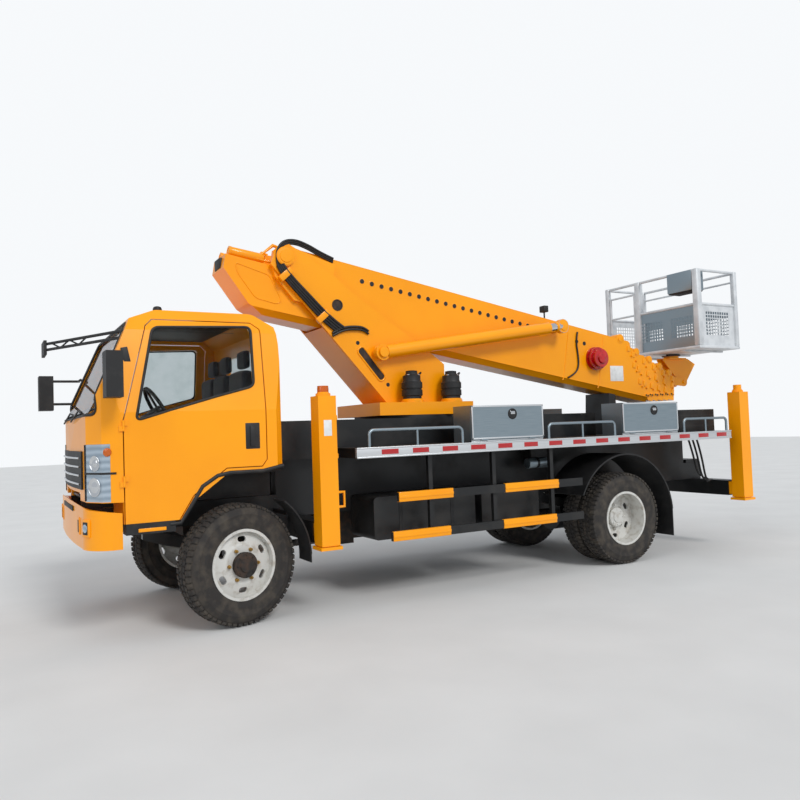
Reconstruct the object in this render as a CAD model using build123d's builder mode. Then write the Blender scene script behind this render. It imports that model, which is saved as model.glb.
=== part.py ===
# Truck-mounted cherry picker: a cab-over chassis with a slewing turret, a six-section
# telescopic boom, a work basket and four outriggers. Millimetres, +Z up, the front faces -Y
# and the vehicle's left side is +X. Heights are measured from the ground.
from build123d import *

import os
from math import cos, hypot, radians, sin, tan

os.makedirs("parts", exist_ok=True)

# Clearances
running_gap = 0.3
moving_gap = 6
door_gap = 8

# Wheels and running gear
front_axle_y = -2636.5
wheelbase = 4175
rear_axle_y = front_axle_y + wheelbase
tyre_radius = 480
tyre_width = 230
tyre_bead_radius = 268
tyre_shoulder = 40
axle_z = tyre_radius
front_wheel_x = 895
kingpin_x = 800
steer_at_rest = 13
rear_outer_x = 915
rear_inner_x = 665
rim_lip = 13
rim_thickness = 9
hub_radius = 95
hub_reach = 60
spindle_radius = 36
spindle_bite = 38
disc_rise = 30
front_disc = 45
rear_disc = -75
rear_disc_rise = -10
rim_hole_count = 6
rim_hole_circle = 200
rim_hole_length = 74
rim_hole_width = 44
axle_tube_radius = 60
front_diff_x = 160
front_diff_radius = 150
front_diff_reach = 130
rear_diff_radius = 200
rear_diff_reach = 180
spring_x = 390
spring_width = 70
spring_thick = 45
spring_seat = 12
front_spring_reach = 620
rear_spring_reach = 680

# Chassis frame
rail_x = 425
rail_depth = 200
rail_flange = 70
rail_wall = 8
rail_top_z = 960
rail_bottom_z = rail_top_z - rail_depth
frame_front_y = front_axle_y - 1000
frame_back_y = front_axle_y + 6105
crossmember_size = 90

# Deck, pedestal and boxes
deck_half_width = 1120
deck_front_y = front_axle_y + 994
deck_back_y = front_axle_y + 5800
deck_top_z = 1356
deck_rail_height = 86
deck_rail_width = 45
deck_plate = 6
bearer_width = 60
subframe_half_width = 300
pedestal_half_width = 560
pedestal_front_y = front_axle_y + 520
pedestal_back_y = front_axle_y + 4240
pedestal_top_z = 1610
rear_box_half_width = 900
rear_box_front_y = front_axle_y + 5190
rear_box_top_z = 1610
toolbox_outer_x = deck_half_width - 42
toolbox_inner_x = toolbox_outer_x - 288
toolbox_height = 342
toolbox_wall = 4
toolbox_door_thick = 14
toolbox_lip = 22
toolbox_spans = ((2193, 3043), (4116, 4955))
handrail_spans = ((1134, 2091), (3113, 4001), (5055, 5770))
handrail_height = 148
handrail_radius = 14
handrail_bend = 45

# Outriggers
beam_width = 130
beam_height = 146
beam_wall = 8
sleeve_wall = 8
sleeve_half_length = 940
sleeve_collar = 50
beam_inner_end = 20
front_beam_y = front_axle_y + 725
rear_beam_y = front_axle_y + 6020
post_inner_x = 990
post_size = 160
post_wall = 8
post_bottom_z = 570
post_top_z = 1800
post_collar = 45
leg_size = 126
leg_wall = 9
leg_top_z = 1690
foot_size = 190
foot_thick = 26
jack_head_radius = 45
jack_head_height = 85

# Cab
cab_half_width = 1000
cab_wall = 42
cab_back_y = front_axle_y + 400
cab_front_y = front_axle_y - 1112
cab_roof_z = 2505
cab_floor_z = 878
cab_arch_z = 1215
cab_chin_z = 1040
cab_tunnel_half_width = 500
cab_tunnel_z = 1100
door_front_y = front_axle_y - 845
door_back_y = front_axle_y + 257
cab_hinge_y = front_axle_y - 1045
cab_hinge_z = 1045
cab_pin_radius = 14
cab_hinge_radius = 28
cab_bracket_x = 392
cab_bracket_thick = 20
glass_thick = 6
glass_set_back = 14
hinge_radius = 9
hinge_length = 40
hinge_levels = (1150, 1560)
door_hinge_x = cab_half_width + hinge_radius + 3
door_hinge_y = door_front_y + door_gap / 2

# Bumper
bumper_half_width = cab_half_width + 12
bumper_front_y = front_axle_y - 1130
bumper_back_y = front_axle_y - 860
bumper_bottom_z = 700
bumper_top_front_z = 1030
bumper_top_mid_z = 993
bumper_top_back_z = 962
bumper_thick = 42
bumper_bracket_x = (290, 345)

# Turret
slew_y = front_axle_y + 2100
turret_base_x = 490
turret_base_y = 540
turret_base_top_z = 1765
ring_radius = 520
ring_height = 30
turret_half_width = 260
turret_plate = 20
plate_inner_x = turret_half_width - turret_plate
pivot_y = front_axle_y + 734
pivot_z = 3150
pivot_pin_radius = 60
slew_motor_x = 380
slew_motor_stations = (1985, 2450)
slew_motor_radius = 112
slew_motor_height = 300

# Boom, in its own side view: s runs from the pivot to the tip, n stands square to it
boom_droop = 10
boom_wall = 8
boom_bevel = 55
boom_tail_s = -534
boom_tail_n = -94
boom_rise = (-30, 120)
cheek_x = 235
pad_length = 110
pad_set_back = 30
pad_half_width = 50
inner_tail_s = 150
inner_tail_step = 22
head_gap = 6
tip_pin_s = 5683
tip_pin_n = -176
tip_pin_radius = 25
tip_ear_radius = 55
tip_ear_thick = 20
# Each section: half width, top n, bottom n, top end s, bottom end s, head half width
boom_sections = (
    (190, 120, -565, 4500, 4950, 190),
    (169, 55, -545, 4600, 5030, 180),
    (148, 0, -525, 4820, 5130, 172),
    (127, -50, -505, 5020, 5230, 164),
    (106, -100, -485, 5220, 5330, 156),
    (85, -150, -465, 5410, 5440, 148),
)
boom_half_width = boom_sections[0][0]
boom_bottom_n = boom_sections[0][2]
tip_half_width = boom_sections[-1][0]

# Lift cylinders
cylinder_x = 345
cylinder_base_y = front_axle_y + 1680
cylinder_base_z = 2262
rod_eye_y = front_axle_y + 4000
rod_eye_z = 2605
barrel_radius = 64
barrel_bore = 54
barrel_length = 2150
barrel_bottom = 110
barrel_gland = 30
rod_radius = 47
rod_tail = 360
eye_radius = 78
eye_width = 66
base_pin_radius = 32
rod_boss_radius = 60

# Work basket
basket_y = front_axle_y + 6172
basket_half_width = 760
basket_half_depth = 372
basket_floor_z = 2356
basket_floor_thick = 34
basket_top_z = 3330
basket_mid_z = basket_top_z - 430
basket_tube = 17
basket_corner = 60
basket_sheet = 4
gate_edge_x = -240
gate_top_z = basket_top_z - 140
gate_tube = 15
rotator_radius = 95
rotator_top_z = 2330
bracket_half_width = 55
bracket_plate = 14


def at(station):
    """A place along the vehicle, from its distance behind the front axle."""
    return front_axle_y + station


def block(x, y, z, mode=Mode.ADD):
    """A box given by its two ends along each axis."""
    with Locations(((x[0] + x[1]) / 2, (y[0] + y[1]) / 2, (z[0] + z[1]) / 2)):
        Box(abs(x[1] - x[0]), abs(y[1] - y[0]), abs(z[1] - z[0]), mode=mode)


def rod_along_x(x, y, z, radius, mode=Mode.ADD):
    """A round bar across the vehicle."""
    with Locations(Location(((x[0] + x[1]) / 2, y, z), (0, 90, 0))):
        Cylinder(radius, abs(x[1] - x[0]), mode=mode)


def rod_along_y(x, y, z, radius, mode=Mode.ADD):
    """A round bar along the vehicle."""
    with Locations(Location((x, (y[0] + y[1]) / 2, z), (90, 0, 0))):
        Cylinder(radius, abs(y[1] - y[0]), mode=mode)


def rod_along_z(x, y, z, radius, mode=Mode.ADD):
    """An upright round bar."""
    with Locations((x, y, (z[0] + z[1]) / 2)):
        Cylinder(radius, abs(z[1] - z[0]), mode=mode)


def strut(start, end, radius):
    """A straight round bar between two points."""
    run = Vector(*end) - Vector(*start)
    with BuildSketch(Plane(origin=start, z_dir=run)) as ring:
        Circle(radius)
    extrude(ring.sketch, amount=run.length)


def outline(plane, points, corner=0):
    """A flat polygon on a plane, with its corners rounded where a radius is given."""
    with BuildSketch(plane) as sketch:
        with BuildLine():
            Polyline(*points, close=True)
        make_face()
        if corner:
            fillet(sketch.vertices(), corner)
    return sketch.sketch


def shrunk(plane, points, inset, corner=0):
    """A polygon as in outline, drawn in by an inset on every side."""
    with BuildSketch(plane) as sketch:
        with BuildLine():
            Polyline(*points, close=True)
        make_face()
        if corner:
            fillet(sketch.vertices(), corner)
        if inset:
            offset(amount=-inset, kind=Kind.INTERSECTION, mode=Mode.REPLACE)
    return sketch.sketch


def side_plate(points, x, mode=Mode.ADD, corner=0):
    """A plate between two places across, from a side view outline of (y, z) points."""
    face = outline(Plane.YZ.offset(min(x)), points, corner)
    extrude(face, amount=abs(x[1] - x[0]), dir=(1, 0, 0), mode=mode)


def on_side(side, x):
    """A span across the vehicle, on its left (1) or right (-1) side."""
    return (side * x[0], side * x[1])


def save(part, label):
    part.label = label
    export_step(part, f"parts/{label}.step")


# Wheels: a wheel's plane has its normal along the axle, pointing away from the vehicle
def wheel_plane(x, y, side, turned):
    angle = radians(turned)
    return Plane(origin=(x, y, axle_z), x_dir=(0, 0, 1), z_dir=(side * cos(angle), side * sin(angle), 0))


def wheel_section(centre):
    """The plane through a wheel's axle in which its half section is drawn."""
    return Plane(origin=centre.origin, x_dir=centre.x_dir, z_dir=centre.x_dir.cross(centre.z_dir))


def tyre(centre):
    half = tyre_width / 2
    section = outline(
        wheel_section(centre),
        (
            (tyre_bead_radius, -half + 22),
            (tyre_bead_radius + 60, -half),
            (tyre_radius - tyre_shoulder, -half + 6),
            (tyre_radius, -half + tyre_shoulder),
            (tyre_radius, half - tyre_shoulder),
            (tyre_radius - tyre_shoulder, half - 6),
            (tyre_bead_radius + 60, half),
            (tyre_bead_radius, half - 22),
        ),
    )
    revolve(section, axis=Axis(centre.origin, centre.z_dir))


def rim(centre, disc, rise):
    """A rim: a barrel with two lips, and a disc that rises from the barrel to the hub."""
    half = tyre_width / 2
    bead = tyre_bead_radius - running_gap
    inner = bead - rim_thickness
    lip = bead + rim_lip
    section = outline(
        wheel_section(centre),
        (
            (inner, -half + 6),
            (lip, -half + 6),
            (lip, -half + 16),
            (bead, -half + 21),
            (bead, half - 21),
            (lip, half - 16),
            (lip, half - 6),
            (inner, half - 6),
            (inner, disc + 8),
            (hub_radius + 60, disc + rise + 8),
            (hub_radius - 10, disc + rise + 8),
            (hub_radius - 10, disc + rise - 8),
            (hub_radius + 54, disc + rise - 8),
            (inner, disc - 8),
        ),
    )
    revolve(section, axis=Axis(centre.origin, centre.z_dir))


# Each wheel: name, side, distance of its king pin from the middle, axle, tyre places from there
front_places = (front_wheel_x - kingpin_x,)
rear_places = (rear_outer_x, rear_inner_x)
wheels = (
    ("front_left", 1, kingpin_x, front_axle_y, front_places),
    ("front_right", -1, kingpin_x, front_axle_y, front_places),
    ("rear_left", 1, 0, rear_axle_y, rear_places),
    ("rear_right", -1, 0, rear_axle_y, rear_places),
)
rear_hub_start = rear_inner_x - rear_disc - 60
front_hub_start = front_wheel_x - kingpin_x - 40
for name, side, pin_x, axle_y, places in wheels:
    twin = len(places) > 1
    plural = "s" if twin else ""
    disc = rear_disc if twin else front_disc
    rise = rear_disc_rise if twin else disc_rise
    axle = wheel_plane(side * pin_x, axle_y, side, 0 if twin else steer_at_rest)
    with BuildPart() as tyres:
        for place in places:
            tyre(axle.offset(place))
    save(tyres.part, f"{name}_tyre{plural}")

    hub_start = rear_hub_start if twin else front_hub_start
    with BuildPart() as rims:
        for index, place in enumerate(places):
            turn = 1 if index == 0 else -1
            rim(axle.offset(place), turn * disc, turn * rise)
        with BuildSketch(axle.offset(hub_start)):
            Circle(hub_radius)
        extrude(amount=places[0] + disc + rise + hub_reach - hub_start)
        with BuildSketch(axle.offset(hub_start)):
            Circle(spindle_radius + running_gap)
        extrude(amount=spindle_bite + 2, mode=Mode.SUBTRACT)
        with BuildSketch(axle.offset(places[-1] - tyre_width)):
            with PolarLocations(rim_hole_circle, rim_hole_count):
                SlotOverall(rim_hole_length, rim_hole_width, rotation=90)
        extrude(amount=places[0] - places[-1] + 2 * tyre_width, mode=Mode.SUBTRACT)
    save(rims.part, f"{name}_rim{plural}")

# Steering knuckles: the king pin boss, the steering arm and the spindle in the front hub
kingpin_half_height = 75
kingpin_radius = 44
steering_arm_length = 200
for name, side in (("front_left_knuckle", 1), ("front_right_knuckle", -1)):
    axle = wheel_plane(side * kingpin_x, front_axle_y, side, steer_at_rest)
    arm_plane = Plane(origin=axle.origin - Vector(0, 0, 60), x_dir=axle.z_dir, z_dir=(0, 0, 1))
    with BuildPart() as knuckle:
        rod_along_z(
            side * kingpin_x,
            front_axle_y,
            (axle_z - kingpin_half_height, axle_z + kingpin_half_height),
            kingpin_radius,
        )
        with BuildSketch(axle):
            Circle(spindle_radius)
        extrude(amount=front_hub_start + spindle_bite)
        arm_end = side * steering_arm_length
        extrude(outline(arm_plane, ((-20, 0), (-20, arm_end), (20, arm_end), (30, 0))), amount=24)
    save(knuckle.part, name)


def leaf_spring(side, axle_y, reach, seat_z):
    """A leaf spring under one rail: an arc from hanger to hanger, seated on the axle."""
    low = rail_bottom_z - 80
    with BuildSketch(Plane.YZ.offset(side * spring_x - spring_width / 2)) as view:
        with BuildLine():
            ThreePointArc((axle_y - reach, low), (axle_y, seat_z), (axle_y + reach, low))
            Line((axle_y + reach, low), (axle_y + reach, rail_bottom_z))
            Line((axle_y + reach, rail_bottom_z), (axle_y + reach - 60, rail_bottom_z))
            ThreePointArc(
                (axle_y + reach - 60, rail_bottom_z),
                (axle_y, seat_z + 2 * spring_thick),
                (axle_y - reach + 60, rail_bottom_z),
            )
            Line((axle_y - reach + 60, rail_bottom_z), (axle_y - reach, rail_bottom_z))
            Line((axle_y - reach, rail_bottom_z), (axle_y - reach, low))
        make_face()
    extrude(view.sketch, amount=spring_width, dir=(1, 0, 0))


# Front axle: a driven beam with its drive housing, yokes round the king pins and leaf springs
yoke_thick = 28
yoke_half = 42
spring_seat_z = axle_z + axle_tube_radius + spring_seat
with BuildPart() as front_axle:
    rod_along_x((-kingpin_x + 90, kingpin_x - 90), front_axle_y, axle_z, axle_tube_radius)
    rod_along_y(
        front_diff_x,
        (front_axle_y - front_diff_reach, front_axle_y + front_diff_reach),
        axle_z,
        front_diff_radius,
    )
    for side in (-1, 1):
        for level in (-1, 1):
            face_z = axle_z + level * (kingpin_half_height + running_gap)
            block(
                on_side(side, (kingpin_x - 130, kingpin_x)),
                (front_axle_y - yoke_half, front_axle_y + yoke_half),
                (face_z, face_z + level * yoke_thick),
            )
            rod_along_z(side * kingpin_x, front_axle_y, (face_z, face_z + level * yoke_thick), yoke_half)
        block(
            on_side(side, (kingpin_x - 130, kingpin_x - 60)),
            (front_axle_y - yoke_half, front_axle_y + yoke_half),
            (axle_z - kingpin_half_height - yoke_thick, axle_z + kingpin_half_height + yoke_thick),
        )
        block(
            on_side(side, (spring_x - spring_width / 2, spring_x + spring_width / 2)),
            (front_axle_y - 60, front_axle_y + 60),
            (axle_z, spring_seat_z + spring_thick / 2),
        )
        leaf_spring(side, front_axle_y, front_spring_reach, spring_seat_z)
save(front_axle.part, "front_axle")

# Rear axle: banjo housing, spindle ends inside the twin hubs and leaf springs
with BuildPart() as rear_axle:
    rod_along_y(
        0,
        (rear_axle_y - rear_diff_reach, rear_axle_y + rear_diff_reach),
        axle_z,
        rear_diff_radius,
    )
    for side in (-1, 1):
        rod_along_x(on_side(side, (0, rear_hub_start - moving_gap)), rear_axle_y, axle_z, axle_tube_radius)
        rod_along_x(on_side(side, (0, rear_hub_start + spindle_bite)), rear_axle_y, axle_z, spindle_radius)
        block(
            on_side(side, (spring_x - spring_width / 2, spring_x + spring_width / 2)),
            (rear_axle_y - 70, rear_axle_y + 70),
            (axle_z, spring_seat_z + spring_thick / 2),
        )
        leaf_spring(side, rear_axle_y, rear_spring_reach, spring_seat_z)
save(rear_axle.part, "rear_axle")

# Chassis frame: channel rails, cross members, outrigger sleeves and the cab hinge brackets
crossmember_stations = (-950, 1500, 2600, 3450, 4900, 5800)
sleeve_half_y = beam_width / 2 + moving_gap + sleeve_wall
beam_top_z = rail_bottom_z - sleeve_wall - moving_gap
beam_bottom_z = beam_top_z - beam_height
sleeve_bottom_z = beam_bottom_z - moving_gap - sleeve_wall
with BuildPart() as frame:
    for side in (-1, 1):
        block(
            on_side(side, (rail_x - rail_wall, rail_x)),
            (frame_front_y, frame_back_y),
            (rail_bottom_z, rail_top_z),
        )
        for flange_z in (rail_bottom_z, rail_top_z - rail_wall):
            block(
                on_side(side, (rail_x - rail_flange, rail_x)),
                (frame_front_y, frame_back_y),
                (flange_z, flange_z + rail_wall),
            )
        side_plate(
            (
                (cab_hinge_y + cab_hinge_radius, cab_hinge_z),
                (cab_hinge_y + 130, rail_top_z),
                (cab_hinge_y + 130, rail_bottom_z + 60),
                (cab_hinge_y - cab_hinge_radius, rail_bottom_z + 90),
                (cab_hinge_y - cab_hinge_radius, cab_hinge_z),
            ),
            on_side(side, (cab_bracket_x, cab_bracket_x + cab_bracket_thick)),
        )
        rod_along_x(
            on_side(side, (cab_bracket_x, cab_bracket_x + cab_bracket_thick)),
            cab_hinge_y,
            cab_hinge_z,
            cab_hinge_radius,
        )
    for station in crossmember_stations:
        block(
            (-rail_x + rail_wall, rail_x - rail_wall),
            (at(station) - crossmember_size / 2, at(station) + crossmember_size / 2),
            (rail_bottom_z + 15, rail_top_z - 15),
        )
    rod_along_x((-cab_bracket_x - 30, cab_bracket_x + 30), cab_hinge_y, cab_hinge_z, cab_pin_radius)
    for beam_y in (front_beam_y, rear_beam_y):
        block(
            (-sleeve_half_length, sleeve_half_length),
            (beam_y - sleeve_half_y, beam_y + sleeve_half_y),
            (sleeve_bottom_z, rail_bottom_z),
        )
        block(
            (-sleeve_half_length + sleeve_collar, sleeve_half_length - sleeve_collar),
            (beam_y - beam_width / 2 - moving_gap, beam_y + beam_width / 2 + moving_gap),
            (beam_bottom_z - moving_gap, beam_top_z + moving_gap),
            mode=Mode.SUBTRACT,
        )
        block(
            (-sleeve_half_length - 1, sleeve_half_length + 1),
            (beam_y - beam_width / 2 - running_gap, beam_y + beam_width / 2 + running_gap),
            (beam_bottom_z - running_gap, beam_top_z + running_gap),
            mode=Mode.SUBTRACT,
        )
save(frame.part, "chassis_frame")

# Drive train: the engine, gearbox and transfer case as plain masses, and the two shafts
engine_z = (660, 1030)
transfer_y = (at(1050), at(1380))
shaft_radius = 32
rear_shaft_radius = 44
with BuildPart() as drivetrain:
    block((-260, 260), (at(-260), at(400)), engine_z)
    block((-150, 150), (at(400) - 5, transfer_y[0] + 5), (rail_bottom_z + 20, rail_top_z - 20))
    block((-190, 190), transfer_y, (420, rail_top_z - 60))
    rod_along_y(
        0,
        (transfer_y[1] - 5, rear_axle_y - rear_diff_reach - running_gap),
        axle_z,
        rear_shaft_radius,
    )
    rod_along_y(
        front_diff_x,
        (front_axle_y + front_diff_reach + running_gap, transfer_y[0] + 5),
        axle_z,
        shaft_radius,
    )
save(drivetrain.part, "drivetrain")

# Tanks and boxes hung on the frame's sides: stations, levels, outer face and corner radius
tanks_table = (
    ((1250, 2330), (530, 910), 900, 40),
    ((2420, 3120), (560, 900), 880, 15),
    ((1250, 2600), (500, 920), -930, 70),
)
with BuildPart() as tanks:
    for stations, levels, face_x, corner in tanks_table:
        start, end = at(stations[0]), at(stations[1])
        points = ((start, levels[0]), (end, levels[0]), (end, levels[1]), (start, levels[1]))
        side_plate(points, (rail_x if face_x > 0 else -rail_x, face_x), corner=corner)
save(tanks.part, "side_tanks")


# Bumper
def bumper_outline(z, inset):
    """Plan view of the bumper, wrapped round the cab's front corners."""
    x = bumper_half_width - inset
    front = bumper_front_y + inset
    knee = 760 - inset / 2
    with BuildSketch(Plane.XY.offset(z)) as view:
        with BuildLine():
            ThreePointArc((-knee, front + 24), (0, front), (knee, front + 24))
            ThreePointArc((knee, front + 24), (x - 62, front + 92), (x, front + 200))
            Polyline((x, front + 200), (x, bumper_back_y), (-x, bumper_back_y), (-x, front + 200))
            ThreePointArc((-x, front + 200), (-x + 62, front + 92), (-knee, front + 24))
        make_face()
    return view.sketch


with BuildPart() as bumper:
    extrude(bumper_outline(bumper_bottom_z, 0), amount=bumper_top_front_z - bumper_bottom_z)
    extrude(
        bumper_outline(bumper_bottom_z - 1, bumper_thick),
        amount=bumper_top_front_z - bumper_bottom_z + 2,
        mode=Mode.SUBTRACT,
    )
    block(
        (-bumper_half_width + bumper_thick, bumper_half_width - bumper_thick),
        (bumper_back_y - 100, bumper_back_y + 10),
        (bumper_bottom_z - 1, bumper_top_front_z + 1),
        mode=Mode.SUBTRACT,
    )
    side_plate(
        (
            (bumper_front_y - 5, bumper_top_front_z),
            (bumper_front_y + 50, bumper_top_mid_z),
            (bumper_back_y + 5, bumper_top_back_z),
            (bumper_back_y + 5, bumper_top_front_z + 5),
            (bumper_front_y - 5, bumper_top_front_z + 5),
        ),
        (-bumper_half_width - 5, bumper_half_width + 5),
        mode=Mode.SUBTRACT,
    )
    for side in (-1, 1):
        block(
            on_side(side, bumper_bracket_x),
            (bumper_front_y + bumper_thick - 8, at(crossmember_stations[0]) - crossmember_size / 2),
            (rail_bottom_z + 40, rail_bottom_z + 120),
        )
save(bumper.part, "bumper")

# Subframe: two boxes on the frame, the pedestal and the slew ring
with BuildPart() as subframe:
    for side in (-1, 1):
        block(
            on_side(side, (subframe_half_width, rail_x)),
            (pedestal_front_y, deck_back_y),
            (rail_top_z, deck_top_z - deck_rail_height),
        )
    block(
        (-pedestal_half_width, pedestal_half_width),
        (pedestal_front_y, pedestal_back_y),
        (deck_top_z - deck_rail_height, pedestal_top_z),
    )
    rod_along_z(0, slew_y, (pedestal_top_z, pedestal_top_z + ring_height), ring_radius)
save(subframe.part, "subframe")

# Deck: chequer plate on bearers with a rail along each side, tread panels and the rear box
tread_x = (pedestal_half_width + 40, deck_half_width - 80)
tread_stations = (3110, 4050)
tread_thick = 3
with BuildPart() as deck:
    for side in (-1, 1):
        block(
            on_side(side, tread_x),
            (at(tread_stations[0]), at(tread_stations[1])),
            (deck_top_z, deck_top_z + tread_thick),
        )
        block(
            on_side(side, (pedestal_half_width, deck_half_width)),
            (deck_front_y, pedestal_back_y),
            (deck_top_z - deck_plate, deck_top_z),
        )
        block(
            on_side(side, (deck_half_width - deck_rail_width, deck_half_width)),
            (deck_front_y, deck_back_y),
            (deck_top_z - deck_rail_height, deck_top_z),
        )
        for station in (1040, 1740, 2440, 3140, 3840):
            block(
                on_side(side, (pedestal_half_width, deck_half_width)),
                (at(station) - bearer_width / 2, at(station) + bearer_width / 2),
                (deck_top_z - deck_rail_height, deck_top_z - deck_plate),
            )
    block(
        (-deck_half_width, deck_half_width),
        (pedestal_back_y, deck_back_y),
        (deck_top_z - deck_plate, deck_top_z),
    )
    for station in (4300, 4800, 5300, 5740):
        block(
            (-deck_half_width, deck_half_width),
            (at(station) - bearer_width / 2, at(station) + bearer_width / 2),
            (deck_top_z - deck_rail_height, deck_top_z - deck_plate),
        )
    block(
        (-rear_box_half_width, rear_box_half_width),
        (rear_box_front_y, deck_back_y),
        (deck_top_z, rear_box_top_z),
    )
save(deck.part, "deck")


# Boom rests: a trestle on the deck and a post on the frame's end, both just under the boom
def boom_underside_z(station, n):
    """Height of the boom's underside over a place along the vehicle."""
    droop = radians(boom_droop)
    return pivot_z + n / cos(droop) - (at(station) - pivot_y) * tan(droop)


rest_station = 4880
rest_half_length = 50
rest_half_width = 200
tip_rest_station = 5960
tip_rest_half_length = 35
tip_rest_half_width = 60
tip_rest_foot = 40
widest_moving_n = boom_sections[1][2]
tip_rest_top_z = boom_underside_z(tip_rest_station + tip_rest_half_length, widest_moving_n) - moving_gap
with BuildPart() as boom_rests:
    side_plate(
        (
            (at(rest_station - rest_half_length - 30), deck_top_z),
            (at(rest_station + rest_half_length + 30), deck_top_z),
            (
                at(rest_station + rest_half_length),
                boom_underside_z(rest_station + rest_half_length, boom_bottom_n) - moving_gap,
            ),
            (
                at(rest_station - rest_half_length),
                boom_underside_z(rest_station - rest_half_length, boom_bottom_n) - moving_gap,
            ),
        ),
        (-rest_half_width, rest_half_width),
    )
    block(
        (-rail_x + rail_wall, rail_x - rail_wall),
        (at(5860), at(6100)),
        (rail_top_z, rail_top_z + tip_rest_foot),
    )
    block(
        (-tip_rest_half_width, tip_rest_half_width),
        (at(tip_rest_station - tip_rest_half_length), at(tip_rest_station + tip_rest_half_length)),
        (rail_top_z + tip_rest_foot, tip_rest_top_z),
    )
save(boom_rests.part, "boom_rests")

# Handrails: a bent tube with a middle leg for each span, on both sides
handrail_x = deck_half_width - 36
foot_z = deck_top_z + running_gap
with BuildPart() as handrails:
    for side in (-1, 1):
        for start, end in handrail_spans:
            with BuildLine(mode=Mode.PRIVATE) as route:
                FilletPolyline(
                    (side * handrail_x, at(start), foot_z),
                    (side * handrail_x, at(start), deck_top_z + handrail_height),
                    (side * handrail_x, at(end), deck_top_z + handrail_height),
                    (side * handrail_x, at(end), foot_z),
                    radius=handrail_bend,
                )
            with BuildSketch(Plane(origin=(side * handrail_x, at(start), foot_z), z_dir=(0, 0, 1))):
                Circle(handrail_radius)
            sweep(path=route.line)
            rod_along_z(
                side * handrail_x,
                at((start + end) / 2),
                (foot_z, deck_top_z + handrail_height),
                handrail_radius - 3,
            )
save(handrails.part, "handrails")

# Toolboxes and their drop-down doors
toolbox_floor_z = deck_top_z + running_gap
toolbox_hinge_z = toolbox_floor_z + toolbox_lip
with BuildPart() as toolboxes:
    for side in (-1, 1):
        for start, end in toolbox_spans:
            block(
                on_side(side, (toolbox_inner_x, toolbox_outer_x)),
                (at(start), at(end)),
                (toolbox_floor_z, toolbox_floor_z + toolbox_height),
            )
            block(
                on_side(side, (toolbox_inner_x + toolbox_wall, toolbox_outer_x + 1)),
                (at(start) + toolbox_wall, at(end) - toolbox_wall),
                (toolbox_floor_z + toolbox_wall, toolbox_floor_z + toolbox_height - toolbox_wall),
                mode=Mode.SUBTRACT,
            )
save(toolboxes.part, "toolboxes")

toolbox_face_x = toolbox_outer_x + running_gap
toolbox_pin_x = toolbox_face_x + toolbox_door_thick
toolbox_pin_radius = 7
for side, side_name in ((1, "left"), (-1, "right")):
    for (start, end), place in zip(toolbox_spans, ("front", "rear")):
        with BuildPart() as box_door:
            block(
                on_side(side, (toolbox_face_x, toolbox_face_x + toolbox_door_thick)),
                (at(start) + 2, at(end) - 2),
                (toolbox_hinge_z, toolbox_floor_z + toolbox_height - 2),
            )
            for hinge_y in (at(start + 140), at(end - 140)):
                rod_along_y(
                    side * toolbox_pin_x,
                    (hinge_y - hinge_length, hinge_y + hinge_length),
                    toolbox_hinge_z,
                    toolbox_pin_radius,
                )
        save(box_door.part, f"toolbox_door_{place}_{side_name}")

# Side guards: two bars on posts hung from the deck, on both sides
guard_face_x = deck_half_width - 16
guard_bar_thick = 30
guard_post_size = 40
guard_bar_height = 76
guard_bottom_z = 545
guard_bars = ((915, 1393, 3509), (580, 1320, 3506))
guard_posts = (1740, 2440, 3140)
guard_back_x = guard_face_x - guard_bar_thick
with BuildPart() as guards:
    for side in (-1, 1):
        for middle_z, start, end in guard_bars:
            block(
                on_side(side, (guard_back_x, guard_face_x)),
                (at(start), at(end)),
                (middle_z - guard_bar_height / 2, middle_z + guard_bar_height / 2),
            )
        for station in guard_posts:
            block(
                on_side(side, (guard_back_x - guard_post_size, guard_back_x)),
                (at(station) - guard_post_size / 2, at(station) + guard_post_size / 2),
                (guard_bottom_z, deck_top_z - deck_rail_height),
            )
save(guards.part, "side_guards")


# Mudguards: arcs over the wheels with hanging flaps and a stay to the frame
def mudguard(axle_y, radius, thick, start_angle, end_angle, x):
    """A curved sheet round an axle, from one angle to another above the rearward horizontal."""
    inner = radius - thick
    with BuildSketch(Plane.YZ.offset(min(x))) as view:
        with BuildLine():
            CenterArc((axle_y, axle_z), radius, start_angle, end_angle - start_angle)
            CenterArc((axle_y, axle_z), inner, start_angle, end_angle - start_angle)
            for angle in (radians(start_angle), radians(end_angle)):
                Line(
                    (axle_y + radius * cos(angle), axle_z + radius * sin(angle)),
                    (axle_y + inner * cos(angle), axle_z + inner * sin(angle)),
                )
        make_face()
    extrude(view.sketch, amount=abs(x[1] - x[0]))


rear_guard_radius = 684
rear_guard_thick = 16
rear_guard_x = (530, 1052)
front_guard_radius = 622
front_guard_thick = 12
front_guard_x = (720, 985)
stay_size = 36
with BuildPart() as mudguards:
    for side in (-1, 1):
        mudguard(rear_axle_y, rear_guard_radius, rear_guard_thick, 4, 155, on_side(side, rear_guard_x))
        block(
            on_side(side, rear_guard_x),
            (rear_axle_y + rear_guard_radius - rear_guard_thick - 2, rear_axle_y + rear_guard_radius - 8),
            (235, axle_z + 60),
        )
        block(
            on_side(side, (rail_x, rear_guard_x[0] + 40)),
            (rear_axle_y + 555, rear_axle_y + 555 + stay_size),
            (axle_z + 350, axle_z + 350 + stay_size),
        )
        mudguard(front_axle_y, front_guard_radius, front_guard_thick, 2, 50, on_side(side, front_guard_x))
        block(
            on_side(side, front_guard_x),
            (front_axle_y + front_guard_radius - front_guard_thick, front_axle_y + front_guard_radius - 4),
            (430, axle_z + 40),
        )
        block(
            on_side(side, (rail_x, front_guard_x[0] + 30)),
            (front_axle_y + 490, front_axle_y + 490 + stay_size),
            (axle_z + 330, axle_z + 330 + stay_size),
        )
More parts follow.
